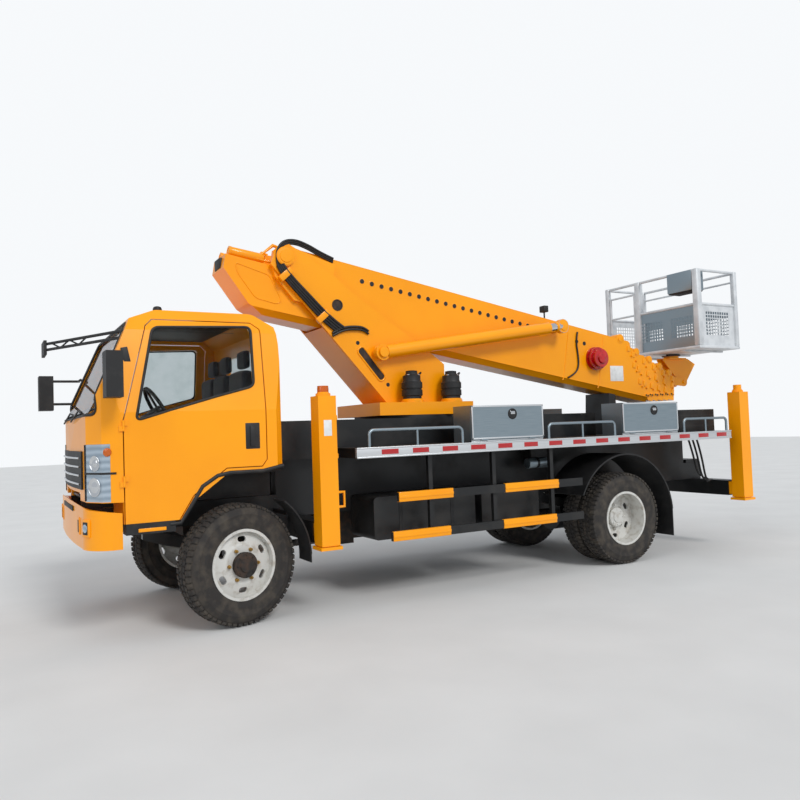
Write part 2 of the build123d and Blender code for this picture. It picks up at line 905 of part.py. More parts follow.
save(mudguards.part, "mudguards")

# Outriggers: a hollow beam with its upright post, and a jack leg with a foot in the post
outriggers = (
    ("front_left", 1, front_beam_y),
    ("front_right", -1, front_beam_y),
    ("rear_left", 1, rear_beam_y),
    ("rear_right", -1, rear_beam_y),
)
post_mid_x = post_inner_x + post_size / 2
post_inside = post_size / 2 - post_wall
leg_slot = leg_size / 2 + running_gap
leg_half = leg_size / 2
for name, side, beam_y in outriggers:
    with BuildPart() as beam:
        block(
            on_side(side, (beam_inner_end, post_inner_x + 2)),
            (beam_y - beam_width / 2, beam_y + beam_width / 2),
            (beam_bottom_z, beam_top_z),
        )
        block(
            on_side(side, (beam_inner_end - 1, post_inner_x - 30)),
            (beam_y - beam_width / 2 + beam_wall, beam_y + beam_width / 2 - beam_wall),
            (beam_bottom_z + beam_wall, beam_top_z - beam_wall),
            mode=Mode.SUBTRACT,
        )
        block(
            on_side(side, (post_inner_x, post_inner_x + post_size)),
            (beam_y - post_size / 2, beam_y + post_size / 2),
            (post_bottom_z, post_top_z),
        )
        block(
            on_side(side, (post_mid_x - post_inside, post_mid_x + post_inside)),
            (beam_y - post_inside, beam_y + post_inside),
            (post_bottom_z + post_collar, post_top_z - post_wall),
            mode=Mode.SUBTRACT,
        )
        block(
            on_side(side, (post_mid_x - leg_slot, post_mid_x + leg_slot)),
            (beam_y - leg_slot, beam_y + leg_slot),
            (post_bottom_z - 1, post_bottom_z + post_collar + 1),
            mode=Mode.SUBTRACT,
        )
        jack_head_z = (post_top_z - 2, post_top_z + jack_head_height)
        rod_along_z(side * post_mid_x, beam_y, jack_head_z, jack_head_radius)
    save(beam.part, f"outrigger_beam_{name}")

    with BuildPart() as leg:
        block(
            on_side(side, (post_mid_x - leg_half, post_mid_x + leg_half)),
            (beam_y - leg_half, beam_y + leg_half),
            (post_bottom_z - moving_gap - 2, leg_top_z),
        )
        block(
            on_side(side, (post_mid_x - leg_half + leg_wall, post_mid_x + leg_half - leg_wall)),
            (beam_y - leg_half + leg_wall, beam_y + leg_half - leg_wall),
            (post_bottom_z + 40, leg_top_z + 1),
            mode=Mode.SUBTRACT,
        )
        block(
            on_side(side, (post_mid_x - foot_size / 2, post_mid_x + foot_size / 2)),
            (beam_y - foot_size / 2, beam_y + foot_size / 2),
            (post_bottom_z - moving_gap - foot_thick, post_bottom_z - moving_gap),
        )
    save(leg.part, f"outrigger_leg_{name}")


# Cab: its form is where the side, front and plan views meet
view_depth = 2 * cab_half_width + 400
side_view_plane = Plane.YZ.offset(-view_depth / 2)
front_view_plane = Plane.XZ.offset(-at(700))


def cab_side_view(inset):
    """Side view of the cab, drawn in by an inset."""
    with BuildSketch(side_view_plane) as view:
        with BuildLine():
            Polyline(
                (at(-1100), cab_chin_z),
                (cab_front_y, 1400),
                (at(-1098), 1640),
                (at(-760), 2425),
                (at(-560), cab_roof_z),
                (at(220), cab_roof_z),
                (at(385), 2390),
                (cab_back_y, 2240),
                (cab_back_y, 1250),
                (at(214), cab_arch_z),
                (at(-58), cab_arch_z),
                (at(-312), 1029),
                (at(-417), cab_floor_z),
                (at(-848), cab_floor_z),
                (at(-848), cab_chin_z),
                close=True,
            )
        make_face()
        fillet(view.vertices().group_by(Axis.Y)[-1], 120)
        if inset:
            offset(amount=-inset, kind=Kind.INTERSECTION, mode=Mode.REPLACE)
    return view.sketch


def cab_front_view(plane, inset):
    """Front view of the cab, drawn in by an inset."""
    x = cab_half_width
    points = (
        (-x, 700),
        (-x, 1700),
        (-x + 95, 2330),
        (-x + 215, cab_roof_z),
        (x - 215, cab_roof_z),
        (x - 95, 2330),
        (x, 1700),
        (x, 700),
    )
    return shrunk(plane, points, inset)


def cab_plan_view(inset):
    """Plan view of the cab, drawn in by an inset."""
    x = cab_half_width
    points = (
        (-x, cab_back_y - 60),
        (-x, at(-860)),
        (-x + 60, at(-985)),
        (-x + 220, at(-1075)),
        (0, cab_front_y),
        (x - 220, at(-1075)),
        (x - 60, at(-985)),
        (x, at(-860)),
        (x, cab_back_y - 60),
        (x - 60, cab_back_y),
        (-x + 60, cab_back_y),
    )
    return shrunk(Plane.XY.offset(600), points, inset)


def cab_form(inset):
    """The cab's solid form, drawn in by an inset on every side."""
    extrude(cab_side_view(inset), amount=view_depth)
    extrude(cab_front_view(front_view_plane, inset), amount=2400, mode=Mode.INTERSECT)
    extrude(cab_plan_view(inset), amount=2200, mode=Mode.INTERSECT)
    block(
        (-cab_tunnel_half_width - inset, cab_tunnel_half_width + inset),
        (at(-1200), at(-300) + inset),
        (cab_floor_z - 100, cab_tunnel_z + inset),
        mode=Mode.SUBTRACT,
    )


def side_wall(depth_from, depth_to):
    """The cab's two side walls between two depths from its outer face, for all stations."""
    extrude(cab_front_view(front_view_plane, depth_from), amount=2400)
    extrude(cab_front_view(front_view_plane.offset(-1), depth_to), amount=2402, mode=Mode.SUBTRACT)


def door_view(gap):
    """Side view of a door, drawn in by a gap."""
    points = (
        (door_front_y, cab_floor_z - 20),
        (door_front_y, 1640),
        (at(-655), 2365),
        (at(-595), 2425),
        (at(190), 2425),
        (door_back_y, 2370),
        (door_back_y, 1300),
        (at(214), 1243),
        (at(-76), 1243),
        (at(-335), 1050),
        (at(-455), cab_floor_z - 20),
    )
    return shrunk(side_view_plane, points, gap)


def door_window_view(inset):
    """Side view of a door's window, drawn in by an inset."""
    points = (
        (at(-751), 1637),
        (at(-600), 2352),
        (at(174), 2380),
        (at(168), 1893),
        (at(-155), 1809),
    )
    return shrunk(side_view_plane, points, inset, corner=40)


def windscreen_view(inset):
    """Front view of the windscreen, drawn in by an inset."""
    low_x = cab_half_width - 100
    high_x = cab_half_width - 210
    points = ((-low_x, 1690), (-high_x, 2400), (high_x, 2400), (low_x, 1690))
    return shrunk(Plane.XZ.offset(-at(-600)), points, inset, corner=60)


def keep_side(side):
    """Keep only what stands on one side of the vehicle."""
    block(
        on_side(side, (0, view_depth / 2)),
        (at(-1500), at(700)),
        (cab_floor_z, cab_roof_z),
        mode=Mode.INTERSECT,
    )


rear_window_half_width = 430
rear_window_z = (1760, 2240)
lamp_inner_x = cab_half_width - 265
lamp_back_y = at(-930)
lamp_z = (1045, 1470)

with BuildPart() as cab_outer:
    cab_form(0)

with BuildPart() as cab_inner:
    cab_form(cab_wall)

with BuildPart() as door_hole:
    side_wall(-1, cab_wall + moving_gap)
    extrude(door_view(0), amount=view_depth, mode=Mode.INTERSECT)

with BuildPart() as cab_shell:
    add(cab_outer.part)
    add(cab_inner.part, mode=Mode.SUBTRACT)
    add(door_hole.part, mode=Mode.SUBTRACT)
    extrude(windscreen_view(0), amount=900, mode=Mode.SUBTRACT)
    block(
        (-rear_window_half_width, rear_window_half_width),
        (cab_back_y - cab_wall - 20, cab_back_y + 10),
        rear_window_z,
        mode=Mode.SUBTRACT,
    )
    for side in (-1, 1):
        block(
            on_side(side, (lamp_inner_x, cab_half_width + 10)),
            (at(-1150), lamp_back_y),
            lamp_z,
            mode=Mode.SUBTRACT,
        )
        side_plate(
            (
                (cab_hinge_y - 26, cab_hinge_z - 20),
                (cab_hinge_y + 26, cab_hinge_z - 20),
                (cab_hinge_y + 80, cab_tunnel_z + 10),
                (cab_hinge_y - 30, cab_tunnel_z + 10),
            ),
            on_side(side, (cab_bracket_x - 46, cab_bracket_x - moving_gap)),
        )
        rod_along_x(
            on_side(side, (cab_bracket_x - 50, cab_bracket_x)),
            cab_hinge_y,
            cab_hinge_z,
            cab_pin_radius + running_gap,
            mode=Mode.SUBTRACT,
        )
        for level in hinge_levels:
            rod_along_z(side * door_hinge_x, door_hinge_y, (level, level + hinge_length), hinge_radius)
            block(
                on_side(side, (cab_half_width - 20, door_hinge_x)),
                (door_hinge_y - hinge_radius - 22, door_hinge_y - 2),
                (level, level + hinge_length),
            )
save(cab_shell.part, "cab_shell")

# Cab doors with their windows
for side, side_name in ((1, "left"), (-1, "right")):
    with BuildPart() as door:
        side_wall(0, cab_wall)
        extrude(door_view(door_gap), amount=view_depth, mode=Mode.INTERSECT)
        extrude(door_window_view(0), amount=view_depth, mode=Mode.SUBTRACT)
        keep_side(side)
        for level in hinge_levels:
            start = level + hinge_length + running_gap
            rod_along_z(side * door_hinge_x, door_hinge_y, (start, start + hinge_length), hinge_radius)
            block(
                on_side(side, (cab_half_width - 20, door_hinge_x)),
                (door_hinge_y + 2, door_hinge_y + hinge_radius + 22),
                (start, start + hinge_length),
            )
    save(door.part, f"cab_door_{side_name}")

    with BuildPart() as door_glass:
        side_wall(glass_set_back, glass_set_back + glass_thick)
        extrude(door_window_view(running_gap), amount=view_depth, mode=Mode.INTERSECT)
        keep_side(side)
    save(door_glass.part, f"cab_door_glass_{side_name}")

with BuildPart() as glass_outer:
    cab_form(glass_set_back)

with BuildPart() as glass_inner:
    cab_form(glass_set_back + glass_thick)

with BuildPart() as window_cut:
    extrude(windscreen_view(running_gap), amount=900)
    block(
        (-rear_window_half_width + running_gap, rear_window_half_width - running_gap),
        (cab_back_y - cab_wall - 20, cab_back_y + 10),
        (rear_window_z[0] + running_gap, rear_window_z[1] - running_gap),
    )

with BuildPart() as cab_glass:
    add(glass_outer.part)
    add(glass_inner.part, mode=Mode.SUBTRACT)
    add(window_cut.part, mode=Mode.INTERSECT)
save(cab_glass.part, "cab_glass")

# Headlamps: the cab's own corner form, a little inside the hole that takes them
with BuildPart() as lamps:
    cab_form(2)
    block(
        (-cab_half_width - 10, cab_half_width + 10),
        (at(-1150), lamp_back_y - running_gap),
        (lamp_z[0] + running_gap, lamp_z[1] - running_gap),
        mode=Mode.INTERSECT,
    )
    block(
        (-lamp_inner_x - running_gap, lamp_inner_x + running_gap),
        (at(-1200), at(-900)),
        (lamp_z[0] - 10, lamp_z[1] + 10),
        mode=Mode.SUBTRACT,
    )
save(lamps.part, "headlamps")

# Dashboard with its console and the steering column
dash_z = (1370, 1640)
dash_half_width = cab_half_width - 280
column_x = 430
column_start = Vector(column_x, at(-780), 1550)
column_radius = 38
wheel_centre = Vector(column_x, at(-470), 1720)
wheel_hub_radius = 45
wheel_hub_back = 30
column_dir = (wheel_centre - column_start).normalized()
with BuildPart() as dashboard:
    side_plate(
        (
            (at(-1015), dash_z[0]),
            (at(-820), dash_z[0]),
            (at(-720), dash_z[0] + 110),
            (at(-730), dash_z[1] - 20),
            (at(-820), dash_z[1]),
            (at(-1000), dash_z[1] - 20),
        ),
        (-dash_half_width, dash_half_width),
    )
    block((-150, 150), (at(-990), at(-800)), (cab_tunnel_z + cab_wall + running_gap, dash_z[0] + 10))
    with BuildSketch(Plane(origin=column_start, z_dir=column_dir)):
        Circle(column_radius)
    extrude(amount=(wheel_centre - column_start).length - wheel_hub_back - running_gap)
save(dashboard.part, "dashboard")

# Steering wheel: a ring on three spokes
wheel_ring_radius = 215
wheel_ring_tube = 15
with BuildPart() as steering_wheel:
    hub_plane = Plane(origin=wheel_centre, z_dir=column_dir)
    with BuildSketch(hub_plane.offset(-wheel_hub_back)):
        Circle(wheel_hub_radius)
    extrude(amount=50)
    with Locations(hub_plane.location):
        Torus(wheel_ring_radius, wheel_ring_tube)
    with BuildSketch(hub_plane.offset(-8)):
        with PolarLocations(wheel_ring_radius / 2, 3):
            Rectangle(wheel_ring_radius, 30)
    extrude(amount=16)
save(steering_wheel.part, "steering_wheel")

# Seats: a driver's seat and a double seat, each a base, cushion, back and headrests
seats_table = ((430, 480, 1), (-330, 880, 2))
seat_floor_z = cab_arch_z + cab_wall + running_gap
with BuildPart() as seats:
    for centre_x, width, heads in seats_table:
        x = (centre_x - width / 2, centre_x + width / 2)
        block((x[0] + 50, x[1] - 50), (at(-40), at(170)), (seat_floor_z, 1405))
        side_plate(
            (
                (at(-220), 1400),
                (at(230), 1400),
                (at(250), 1480),
                (at(300), 2080),
                (at(210), 2080),
                (at(140), 1520),
                (at(-220), 1530),
            ),
            x,
            corner=25,
        )
        for index in range(heads):
            head_x = centre_x + (index - (heads - 1) / 2) * width / 2
            block((head_x - 130, head_x + 130), (at(215), at(295)), (2070, 2240))
save(seats.part, "seats")

# Black trim on the cab: the grille, sill strips, mirrors and their arms
mirror_x = (cab_half_width + 70, cab_half_width + 250)
mirror_z = (1800, 2130)
mirror_arm_radius = 12
near_mirror_y = (at(-985), at(-870))
far_mirror_y = (at(-1275), at(-1150))
mirror_arm_y = at(-925)
mirror_arm_levels = (1860, 2080)
front_mirror_x = (-450, -150)
front_mirror_y = at(-1275)
front_mirror_z = (2240, 2360)
front_arm_foot_x = cab_half_width - 170
front_arm_foot_y = at(-790)
grille_half_width = lamp_inner_x - 95
grille_z = (1130, 1420)
grille_stand_out = 14

with BuildPart() as grille_form:
    cab_form(-grille_stand_out)

with BuildPart() as grille_seat:
    cab_form(-running_gap)

with BuildPart() as cab_trim:
    add(grille_form.part)
    block(
        (-grille_half_width, grille_half_width),
        (at(-1200), at(-900)),
        grille_z,
        mode=Mode.INTERSECT,
    )
    for side in (-1, 1):
        block(
            on_side(side, (cab_half_width - 150, cab_half_width + 4)),
            (at(-835), at(-480)),
            (cab_floor_z - 82, cab_floor_z - running_gap),
        )
    block(mirror_x, near_mirror_y, mirror_z)
    block((-mirror_x[0], -mirror_x[1]), far_mirror_y, mirror_z)
    block(front_mirror_x, (front_mirror_y - 12, front_mirror_y + 12), front_mirror_z)
    for level in mirror_arm_levels:
        rod_along_x((cab_half_width - 100, mirror_x[0] + 10), mirror_arm_y, level, mirror_arm_radius)
        rod_along_x((-mirror_x[0] - 30, -cab_half_width + 100), mirror_arm_y, level, mirror_arm_radius)
        rod_along_y(
            -mirror_x[0] - 30,
            (far_mirror_y[1] - 10, mirror_arm_y + mirror_arm_radius),
            level,
            mirror_arm_radius,
        )
    for drop in (30, 80):
        strut(
            (front_mirror_x[1] - 40, front_mirror_y, front_mirror_z[1] - drop),
            (front_arm_foot_x, front_arm_foot_y, front_mirror_z[1] - drop),
            mirror_arm_radius,
        )
    add(grille_seat.part, mode=Mode.SUBTRACT)
save(cab_trim.part, "cab_trim")

# Turret: base box, two side plates with their cross plates and the boom's stub pins
turret_foot_z = turret_base_top_z - 5
turret_outline = (
    (at(594), 3073),
    (at(650), 3230),
    (at(775), 3274),
    (at(869), 3222),
    (at(946), 3198),
    (at(999), 3149),
    (at(1246), 2994),
    (at(1418), 2856),
    (at(2315), 2263),
    (at(2451), 2161),
    (at(2451), turret_foot_z),
    (at(1768), turret_foot_z),
)
stub_pin_x = boom_half_width + 8
with BuildPart() as turret:
    block(
        (-turret_base_x, turret_base_x),
        (slew_y - turret_base_y, slew_y + turret_base_y),
        (pedestal_top_z + ring_height + running_gap, turret_base_top_z),
    )
    for side in (-1, 1):
        side_plate(turret_outline, on_side(side, (plate_inner_x, turret_half_width)))
        rod_along_x(on_side(side, (stub_pin_x, plate_inner_x + 2)), pivot_y, pivot_z, pivot_pin_radius)
        rod_along_x(on_side(side, (turret_half_width - 2, turret_half_width + 25)), pivot_y, pivot_z, 90)
        rod_along_x(
            on_side(side, (turret_half_width - 2, cylinder_x + eye_width / 2 + 18)),
            cylinder_base_y,
            cylinder_base_z,
            base_pin_radius,
        )
    side_plate(
        ((at(1100), 2500), (at(1768), turret_foot_z), (at(1790), turret_foot_z), (at(1125), 2495)),
        (-plate_inner_x, plate_inner_x),
    )
    block((-plate_inner_x, plate_inner_x), (at(2420), at(2440)), (turret_foot_z, 2190))
save(turret.part, "turret")

# Slew drive motors on the turret's base
slew_motor_foot_z = turret_base_top_z + running_gap
with BuildPart() as slew_motors:
    for station in slew_motor_stations:
        rod_along_z(
            slew_motor_x,
            at(station),
            (slew_motor_foot_z, slew_motor_foot_z + slew_motor_height),
            slew_motor_radius,
        )
save(slew_motors.part, "slew_motors")

# Boom sections
boom_dir = Vector(0, cos(radians(boom_droop)), -sin(radians(boom_droop)))
boom_pivot = Vector(0, pivot_y, pivot_z)


def boom_side(x):
    """The boom's side view at a place across: local x is s and local y is n."""
    return Plane(origin=(x, pivot_y, pivot_z), x_dir=boom_dir, z_dir=(1, 0, 0))


def boom_cross(s):
    """A plane square to the boom: local y is n."""
    return Plane(origin=boom_pivot + boom_dir * s, x_dir=(-1, 0, 0), z_dir=boom_dir)


def boom_plate(points, x, mode=Mode.ADD, corner=0):
    """A plate across the boom, from an outline of (s, n) points."""
    extrude(outline(boom_side(min(x)), points, corner), amount=abs(x[1] - x[0]), mode=mode)


def boom_disc(s, n, x, radius, mode=Mode.ADD):
    """A round boss or bore across the boom."""
    with BuildSketch(boom_side(min(x))) as disc:
        with Locations((s, n)):
            Circle(radius)
    extrude(disc.sketch, amount=abs(x[1] - x[0]), mode=mode)


def boom_tube(half_width, top, bottom, start, end, mode=Mode.ADD):
    """A length of box section with its lower edges bevelled."""
    points = (
        (-half_width, top),
        (half_width, top),
        (half_width, bottom + boom_bevel),
        (half_width - boom_bevel, bottom),
        (-half_width + boom_bevel, bottom),
        (-half_width, bottom + boom_bevel),
    )
    extrude(outline(boom_cross(start), points), amount=end - start, mode=mode)


def end_at(section, n):
    """Where a section's slanted end stands, at a height n."""
    half_width, top, bottom, top_end, bottom_end, head = section
    return top_end + (bottom_end - top_end) * (top - n) / (top - bottom)


rod_eye = Vector(0, rod_eye_y, rod_eye_z) - boom_pivot
rod_eye_s = rod_eye.dot(boom_dir)
rod_eye_n = rod_eye.dot(boom_side(0).y_dir)
for index, section in enumerate(boom_sections):
    half_width, top, bottom, top_end, bottom_end, head_half_width = section
    tail = inner_tail_s + inner_tail_step * index
    last = index == len(boom_sections) - 1
    with BuildPart() as boom_section:
        if index == 0:
            boom_tube(half_width, top, bottom, boom_tail_s, bottom_end)
            boom_plate(
                (
                    (boom_tail_s - 10, boom_tail_n),
                    (boom_rise[0], boom_tail_n),
                    (boom_rise[1], top),
                    (boom_rise[1], top + 10),
                    (boom_tail_s - 10, top + 10),
                ),
                (-half_width - 5, half_width + 5),
                mode=Mode.SUBTRACT,
            )
            boom_plate(
                (
                    (boom_tail_s - 10, -226),
                    (boom_tail_s + 2, -226),
                    (-258, -496),
                    (-100, bottom),
                    (-100, bottom - 10),
                    (boom_tail_s - 10, bottom - 10),
                ),
                (-half_width - 5, half_width + 5),
                mode=Mode.SUBTRACT,
            )
            for side in (-1, 1):
                boom_plate(
                    (
                        (-110, -60),
                        (-110, 40),
                        (-50, 105),
                        (60, 118),
                        (520, 60),
                        (520, -380),
                        (160, -380),
                        (-60, -200),
                    ),
                    on_side(side, (half_width - 2, cheek_x)),
                )
                pin_bore_x = on_side(side, (half_width - 30, cheek_x + 5))
                boom_disc(0, 0, pin_bore_x, pivot_pin_radius + running_gap, Mode.SUBTRACT)
                boss_x = cylinder_x - rod_radius - moving_gap
                boom_disc(rod_eye_s, rod_eye_n, on_side(side, (half_width - 2, boss_x)), rod_boss_radius)
        else:
            boom_tube(half_width, top, bottom, tail, bottom_end)
            previous = boom_sections[index - 1]
            boom_plate(
                (
                    (end_at(previous, top) + head_gap, top),
                    (top_end, top),
                    (bottom_end, bottom),
                    (end_at(previous, bottom) + head_gap, bottom),
                ),
                (-head_half_width, head_half_width),
            )
        past_end = bottom_end + 50
        boom_plate(
            ((top_end, top + 1), (bottom_end, bottom - 1), (past_end, bottom - 1), (past_end, top + 1)),
            (-head_half_width - 5, head_half_width + 5),
            mode=Mode.SUBTRACT,
        )
        cavity_end = top_end - 40 if last else bottom_end + 10
        boom_tube(
            half_width - boom_wall,
            top - boom_wall,
            bottom + boom_wall,
            tail - 20,
            cavity_end,
            mode=Mode.SUBTRACT,
        )
        if last:
            for side in (-1, 1):
                ear_x = on_side(side, (half_width - tip_ear_thick, half_width))
                boom_plate(
                    (
                        (top_end - 20, top - 4),
                        (tip_pin_s - 10, tip_pin_n + tip_ear_radius - 2),
                        (tip_pin_s - 10, tip_pin_n - tip_ear_radius + 2),
                        (top_end - 20, tip_pin_n - tip_ear_radius - 30),
                    ),
                    ear_x,
                )
                boom_disc(tip_pin_s, tip_pin_n, ear_x, tip_ear_radius)
                bore_x = on_side(side, (half_width - tip_ear_thick - 1, half_width + 1))
                boom_disc(tip_pin_s, tip_pin_n, bore_x, tip_pin_radius + running_gap, Mode.SUBTRACT)
        else:
            pad_top = boom_sections[index + 1][2] - running_gap
            pad_end = bottom_end - pad_set_back
            boom_plate(
                (
                    (pad_end - pad_length, bottom + boom_wall - 1),
                    (pad_end, bottom + boom_wall - 1),
                    (pad_end, pad_top),
                    (pad_end - pad_length, pad_top),
                ),
                (-pad_half_width, pad_half_width),
            )
    save(boom_section.part, f"boom_section_{index + 1}")

# Lift cylinders: barrels pinned to the turret, rods that reach for the boom's bosses
cylinder_reach = hypot(rod_eye_y - cylinder_base_y, rod_eye_z - cylinder_base_z)
cylinder_dir = Vector(0, rod_eye_y - cylinder_base_y, rod_eye_z - cylinder_base_z).normalized()


def cylinder_plane(x, along):
    """A plane square to a lift cylinder, at a distance from its base pin."""
    origin = Vector(x, cylinder_base_y, cylinder_base_z) + cylinder_dir * along
    return Plane(origin=origin, x_dir=(1, 0, 0), z_dir=cylinder_dir)


with BuildPart() as barrels:
    for side in (-1, 1):
        x = side * cylinder_x
        with BuildSketch(cylinder_plane(x, eye_radius - 30)):
            Circle(barrel_radius)
        extrude(amount=barrel_length - eye_radius + 30)
        rod_along_x((x - eye_width / 2, x + eye_width / 2), cylinder_base_y, cylinder_base_z, eye_radius)
        rod_along_x(
            (x - eye_width / 2 - 40, x + eye_width / 2 + 40),
            cylinder_base_y,
            cylinder_base_z,
            base_pin_radius + running_gap,
            mode=Mode.SUBTRACT,
        )
        with BuildSketch(cylinder_plane(x, barrel_bottom)):
            Circle(barrel_bore)
        extrude(amount=barrel_length - barrel_bottom + 10, mode=Mode.SUBTRACT)
        with BuildSketch(cylinder_plane(x, barrel_length - barrel_gland)):
            Circle(barrel_radius)
            Circle(rod_radius + running_gap, mode=Mode.SUBTRACT)
        extrude(amount=barrel_gland)
save(barrels.part, "lift_barrels")

with BuildPart() as rods:
    for side in (-1, 1):
        x = side * cylinder_x
        with BuildSketch(cylinder_plane(x, rod_tail)):
            Circle(rod_radius)
        extrude(amount=cylinder_reach - rod_tail - 20)
        rod_along_x((x - eye_width / 2, x + eye_width / 2), rod_eye_y, rod_eye_z, eye_radius)
save(rods.part, "lift_rods")

# Basket bracket: two plates from the levelling pin up to the basket's rotator
tip_pin = boom_pivot + boom_dir * tip_pin_s + boom_side(0).y_dir * tip_pin_n
bracket_top_z = 2300
with BuildPart() as bracket:
    for side in (-1, 1):
        side_plate(
            (
                (at(5965), bracket_top_z - 30),
                (at(5965), bracket_top_z),
                (at(6420), bracket_top_z),
                (at(6560), bracket_top_z - 70),
                (tip_pin.Y + 60, tip_pin.Z - 20),
                (tip_pin.Y - 30, tip_pin.Z - 50),
                (tip_pin.Y - 55, tip_pin.Z),
            ),
            on_side(side, (bracket_half_width - bracket_plate, bracket_half_width)),
        )
    rod_along_x((-tip_half_width - 12, tip_half_width + 12), tip_pin.Y, tip_pin.Z, tip_pin_radius)
    block((-110, 110), (at(6020), at(6330)), (bracket_top_z - 10, bracket_top_z + 6))
    rod_along_z(0, basket_y, (bracket_top_z, rotator_top_z), rotator_radius)
save(bracket.part, "basket_bracket")

# Basket: floor, corner posts, rails and kick sheets, open at the gate, with the control box
corner_x = basket_half_width - basket_corner / 2
corner_y = basket_half_depth - basket_corner / 2
back_y = basket_y + corner_y
front_y = basket_y - corner_y
deck_of_basket_z = basket_floor_z + basket_floor_thick
with BuildPart() as basket:
    rod_along_z(0, basket_y, (rotator_top_z + running_gap, basket_floor_z + 5), rotator_radius + 20)
    block(
        (-basket_half_width, basket_half_width),
        (basket_y - basket_half_depth, basket_y + basket_half_depth),
        (basket_floor_z, deck_of_basket_z),
    )
    for x in (-corner_x, corner_x):
        for y in (front_y, back_y):
            block(
                (x - basket_corner / 2, x + basket_corner / 2),
                (y - basket_corner / 2, y + basket_corner / 2),
                (deck_of_basket_z - 1, basket_top_z),
            )
    block(
        (gate_edge_x, gate_edge_x + basket_corner),
        (front_y - basket_corner / 2, front_y + basket_corner / 2),
        (deck_of_basket_z - 1, basket_top_z),
    )
    for level in (basket_mid_z, basket_top_z - basket_tube):
        rod_along_x((-corner_x, corner_x), back_y, level, basket_tube)
        rod_along_x((gate_edge_x + 10, corner_x), front_y, level, basket_tube)
        for x in (-corner_x, corner_x):
            rod_along_y(x, (front_y, back_y), level, basket_tube)
    rod_along_x((-corner_x, gate_edge_x + 20), front_y, basket_top_z - basket_tube, basket_tube)
    sheet_z = (deck_of_basket_z - 1, basket_mid_z)
    block((-corner_x, corner_x), (back_y - basket_sheet / 2, back_y + basket_sheet / 2), sheet_z)
    block((gate_edge_x + 10, corner_x), (front_y - basket_sheet / 2, front_y + basket_sheet / 2), sheet_z)
    for x in (-corner_x, corner_x):
        block((x - basket_sheet / 2, x + basket_sheet / 2), (front_y, back_y), sheet_z)
    block(
        (basket_half_width - 420, basket_half_width - basket_corner - 20),
        (front_y, front_y + 190),
        (basket_top_z - 190, basket_top_z - 5),
    )
save(basket.part, "basket")

# Basket gate: a hinged frame in the basket's front
gate_hinge_x = -basket_half_width + basket_corner + gate_tube + running_gap
gate_end_x = gate_edge_x - moving_gap - gate_tube
gate_z = (deck_of_basket_z + 20, gate_top_z)
with BuildPart() as gate:
    for x in (gate_hinge_x, gate_end_x):
        rod_along_z(x, front_y, gate_z, gate_tube)
    for level in (gate_z[0] + gate_tube, basket_mid_z, gate_z[1] - gate_tube):
        rod_along_x((gate_hinge_x, gate_end_x), front_y, level, gate_tube - 2)
save(gate.part, "basket_gate")

# Winch on the boom's side
winch_y = at(4630)
winch_z = 2260
winch_seat_x = boom_half_width + running_gap
with BuildPart() as winch:
    rod_along_x((winch_seat_x, 350), winch_y, winch_z, 110)
    block((winch_seat_x, 215), (winch_y - 190, winch_y + 170), (winch_z - 140, winch_z + 140))
save(winch.part, "winch")
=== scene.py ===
# Truck-mounted cherry picker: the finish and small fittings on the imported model.
# Metres, +Z up, the cab faces -Y and the vehicle's left side is +X.
from math import atan2, cos, hypot, pi, radians, sin

import bpy
from mathutils import Matrix, Vector


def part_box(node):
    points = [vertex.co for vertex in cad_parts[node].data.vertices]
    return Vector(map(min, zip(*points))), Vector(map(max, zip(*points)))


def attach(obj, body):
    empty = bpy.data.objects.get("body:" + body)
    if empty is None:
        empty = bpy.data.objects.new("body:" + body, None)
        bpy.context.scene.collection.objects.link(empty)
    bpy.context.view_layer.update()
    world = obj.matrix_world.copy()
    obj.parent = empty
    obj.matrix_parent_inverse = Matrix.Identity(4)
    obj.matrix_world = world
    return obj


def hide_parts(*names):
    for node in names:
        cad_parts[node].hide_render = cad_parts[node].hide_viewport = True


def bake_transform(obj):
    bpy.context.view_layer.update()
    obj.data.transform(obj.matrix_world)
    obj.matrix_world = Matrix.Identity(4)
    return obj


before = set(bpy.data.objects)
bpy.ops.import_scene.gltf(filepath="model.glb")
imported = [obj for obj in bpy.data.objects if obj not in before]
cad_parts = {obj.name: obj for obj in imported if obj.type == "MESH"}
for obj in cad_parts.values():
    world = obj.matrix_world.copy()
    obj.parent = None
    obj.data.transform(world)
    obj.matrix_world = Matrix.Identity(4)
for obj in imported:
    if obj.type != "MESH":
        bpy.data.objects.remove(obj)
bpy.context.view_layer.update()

# Places read from the frame
axle_low, axle_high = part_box("front_axle")
FRONT_AXLE_Y = (axle_low.y + axle_high.y) / 2
rear_low, rear_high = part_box("rear_left_tyres")
REAR_AXLE_Y = (rear_low.y + rear_high.y) / 2
AXLE_Z = (rear_low.z + rear_high.z) / 2
TYRE_RADIUS = (rear_high.z - rear_low.z) / 2
TYRE_WIDTH = 0.23
BEAD_RADIUS = 0.268
REAR_OUTER_X = rear_high.x - TYRE_WIDTH / 2
REAR_INNER_X = rear_low.x + TYRE_WIDTH / 2
KINGPIN_X = 0.8
FRONT_TYRE_FROM_PIN = 0.095
STEER_AT_REST = radians(13)
CAB_HALF_WIDTH = 1.0
BOOM_DROOP = radians(10)
BOOM_PIVOT = Vector((0, FRONT_AXLE_Y + 0.734, 3.15))
BOOM_SIDE_X = 0.19
BOOM_TOPS = (0.12, 0.055, 0, -0.05, -0.1, -0.15)
BOOM_BOTTOMS = (-0.565, -0.545, -0.525, -0.505, -0.485, -0.465)
BOOM_TOP_ENDS = (4.5, 4.6, 4.82, 5.02, 5.22, 5.41)
BOOM_BOTTOM_ENDS = (4.95, 5.03, 5.13, 5.23, 5.33, 5.44)
HEAD_HALF_WIDTHS = (0.19, 0.18, 0.172, 0.164, 0.156, 0.148)
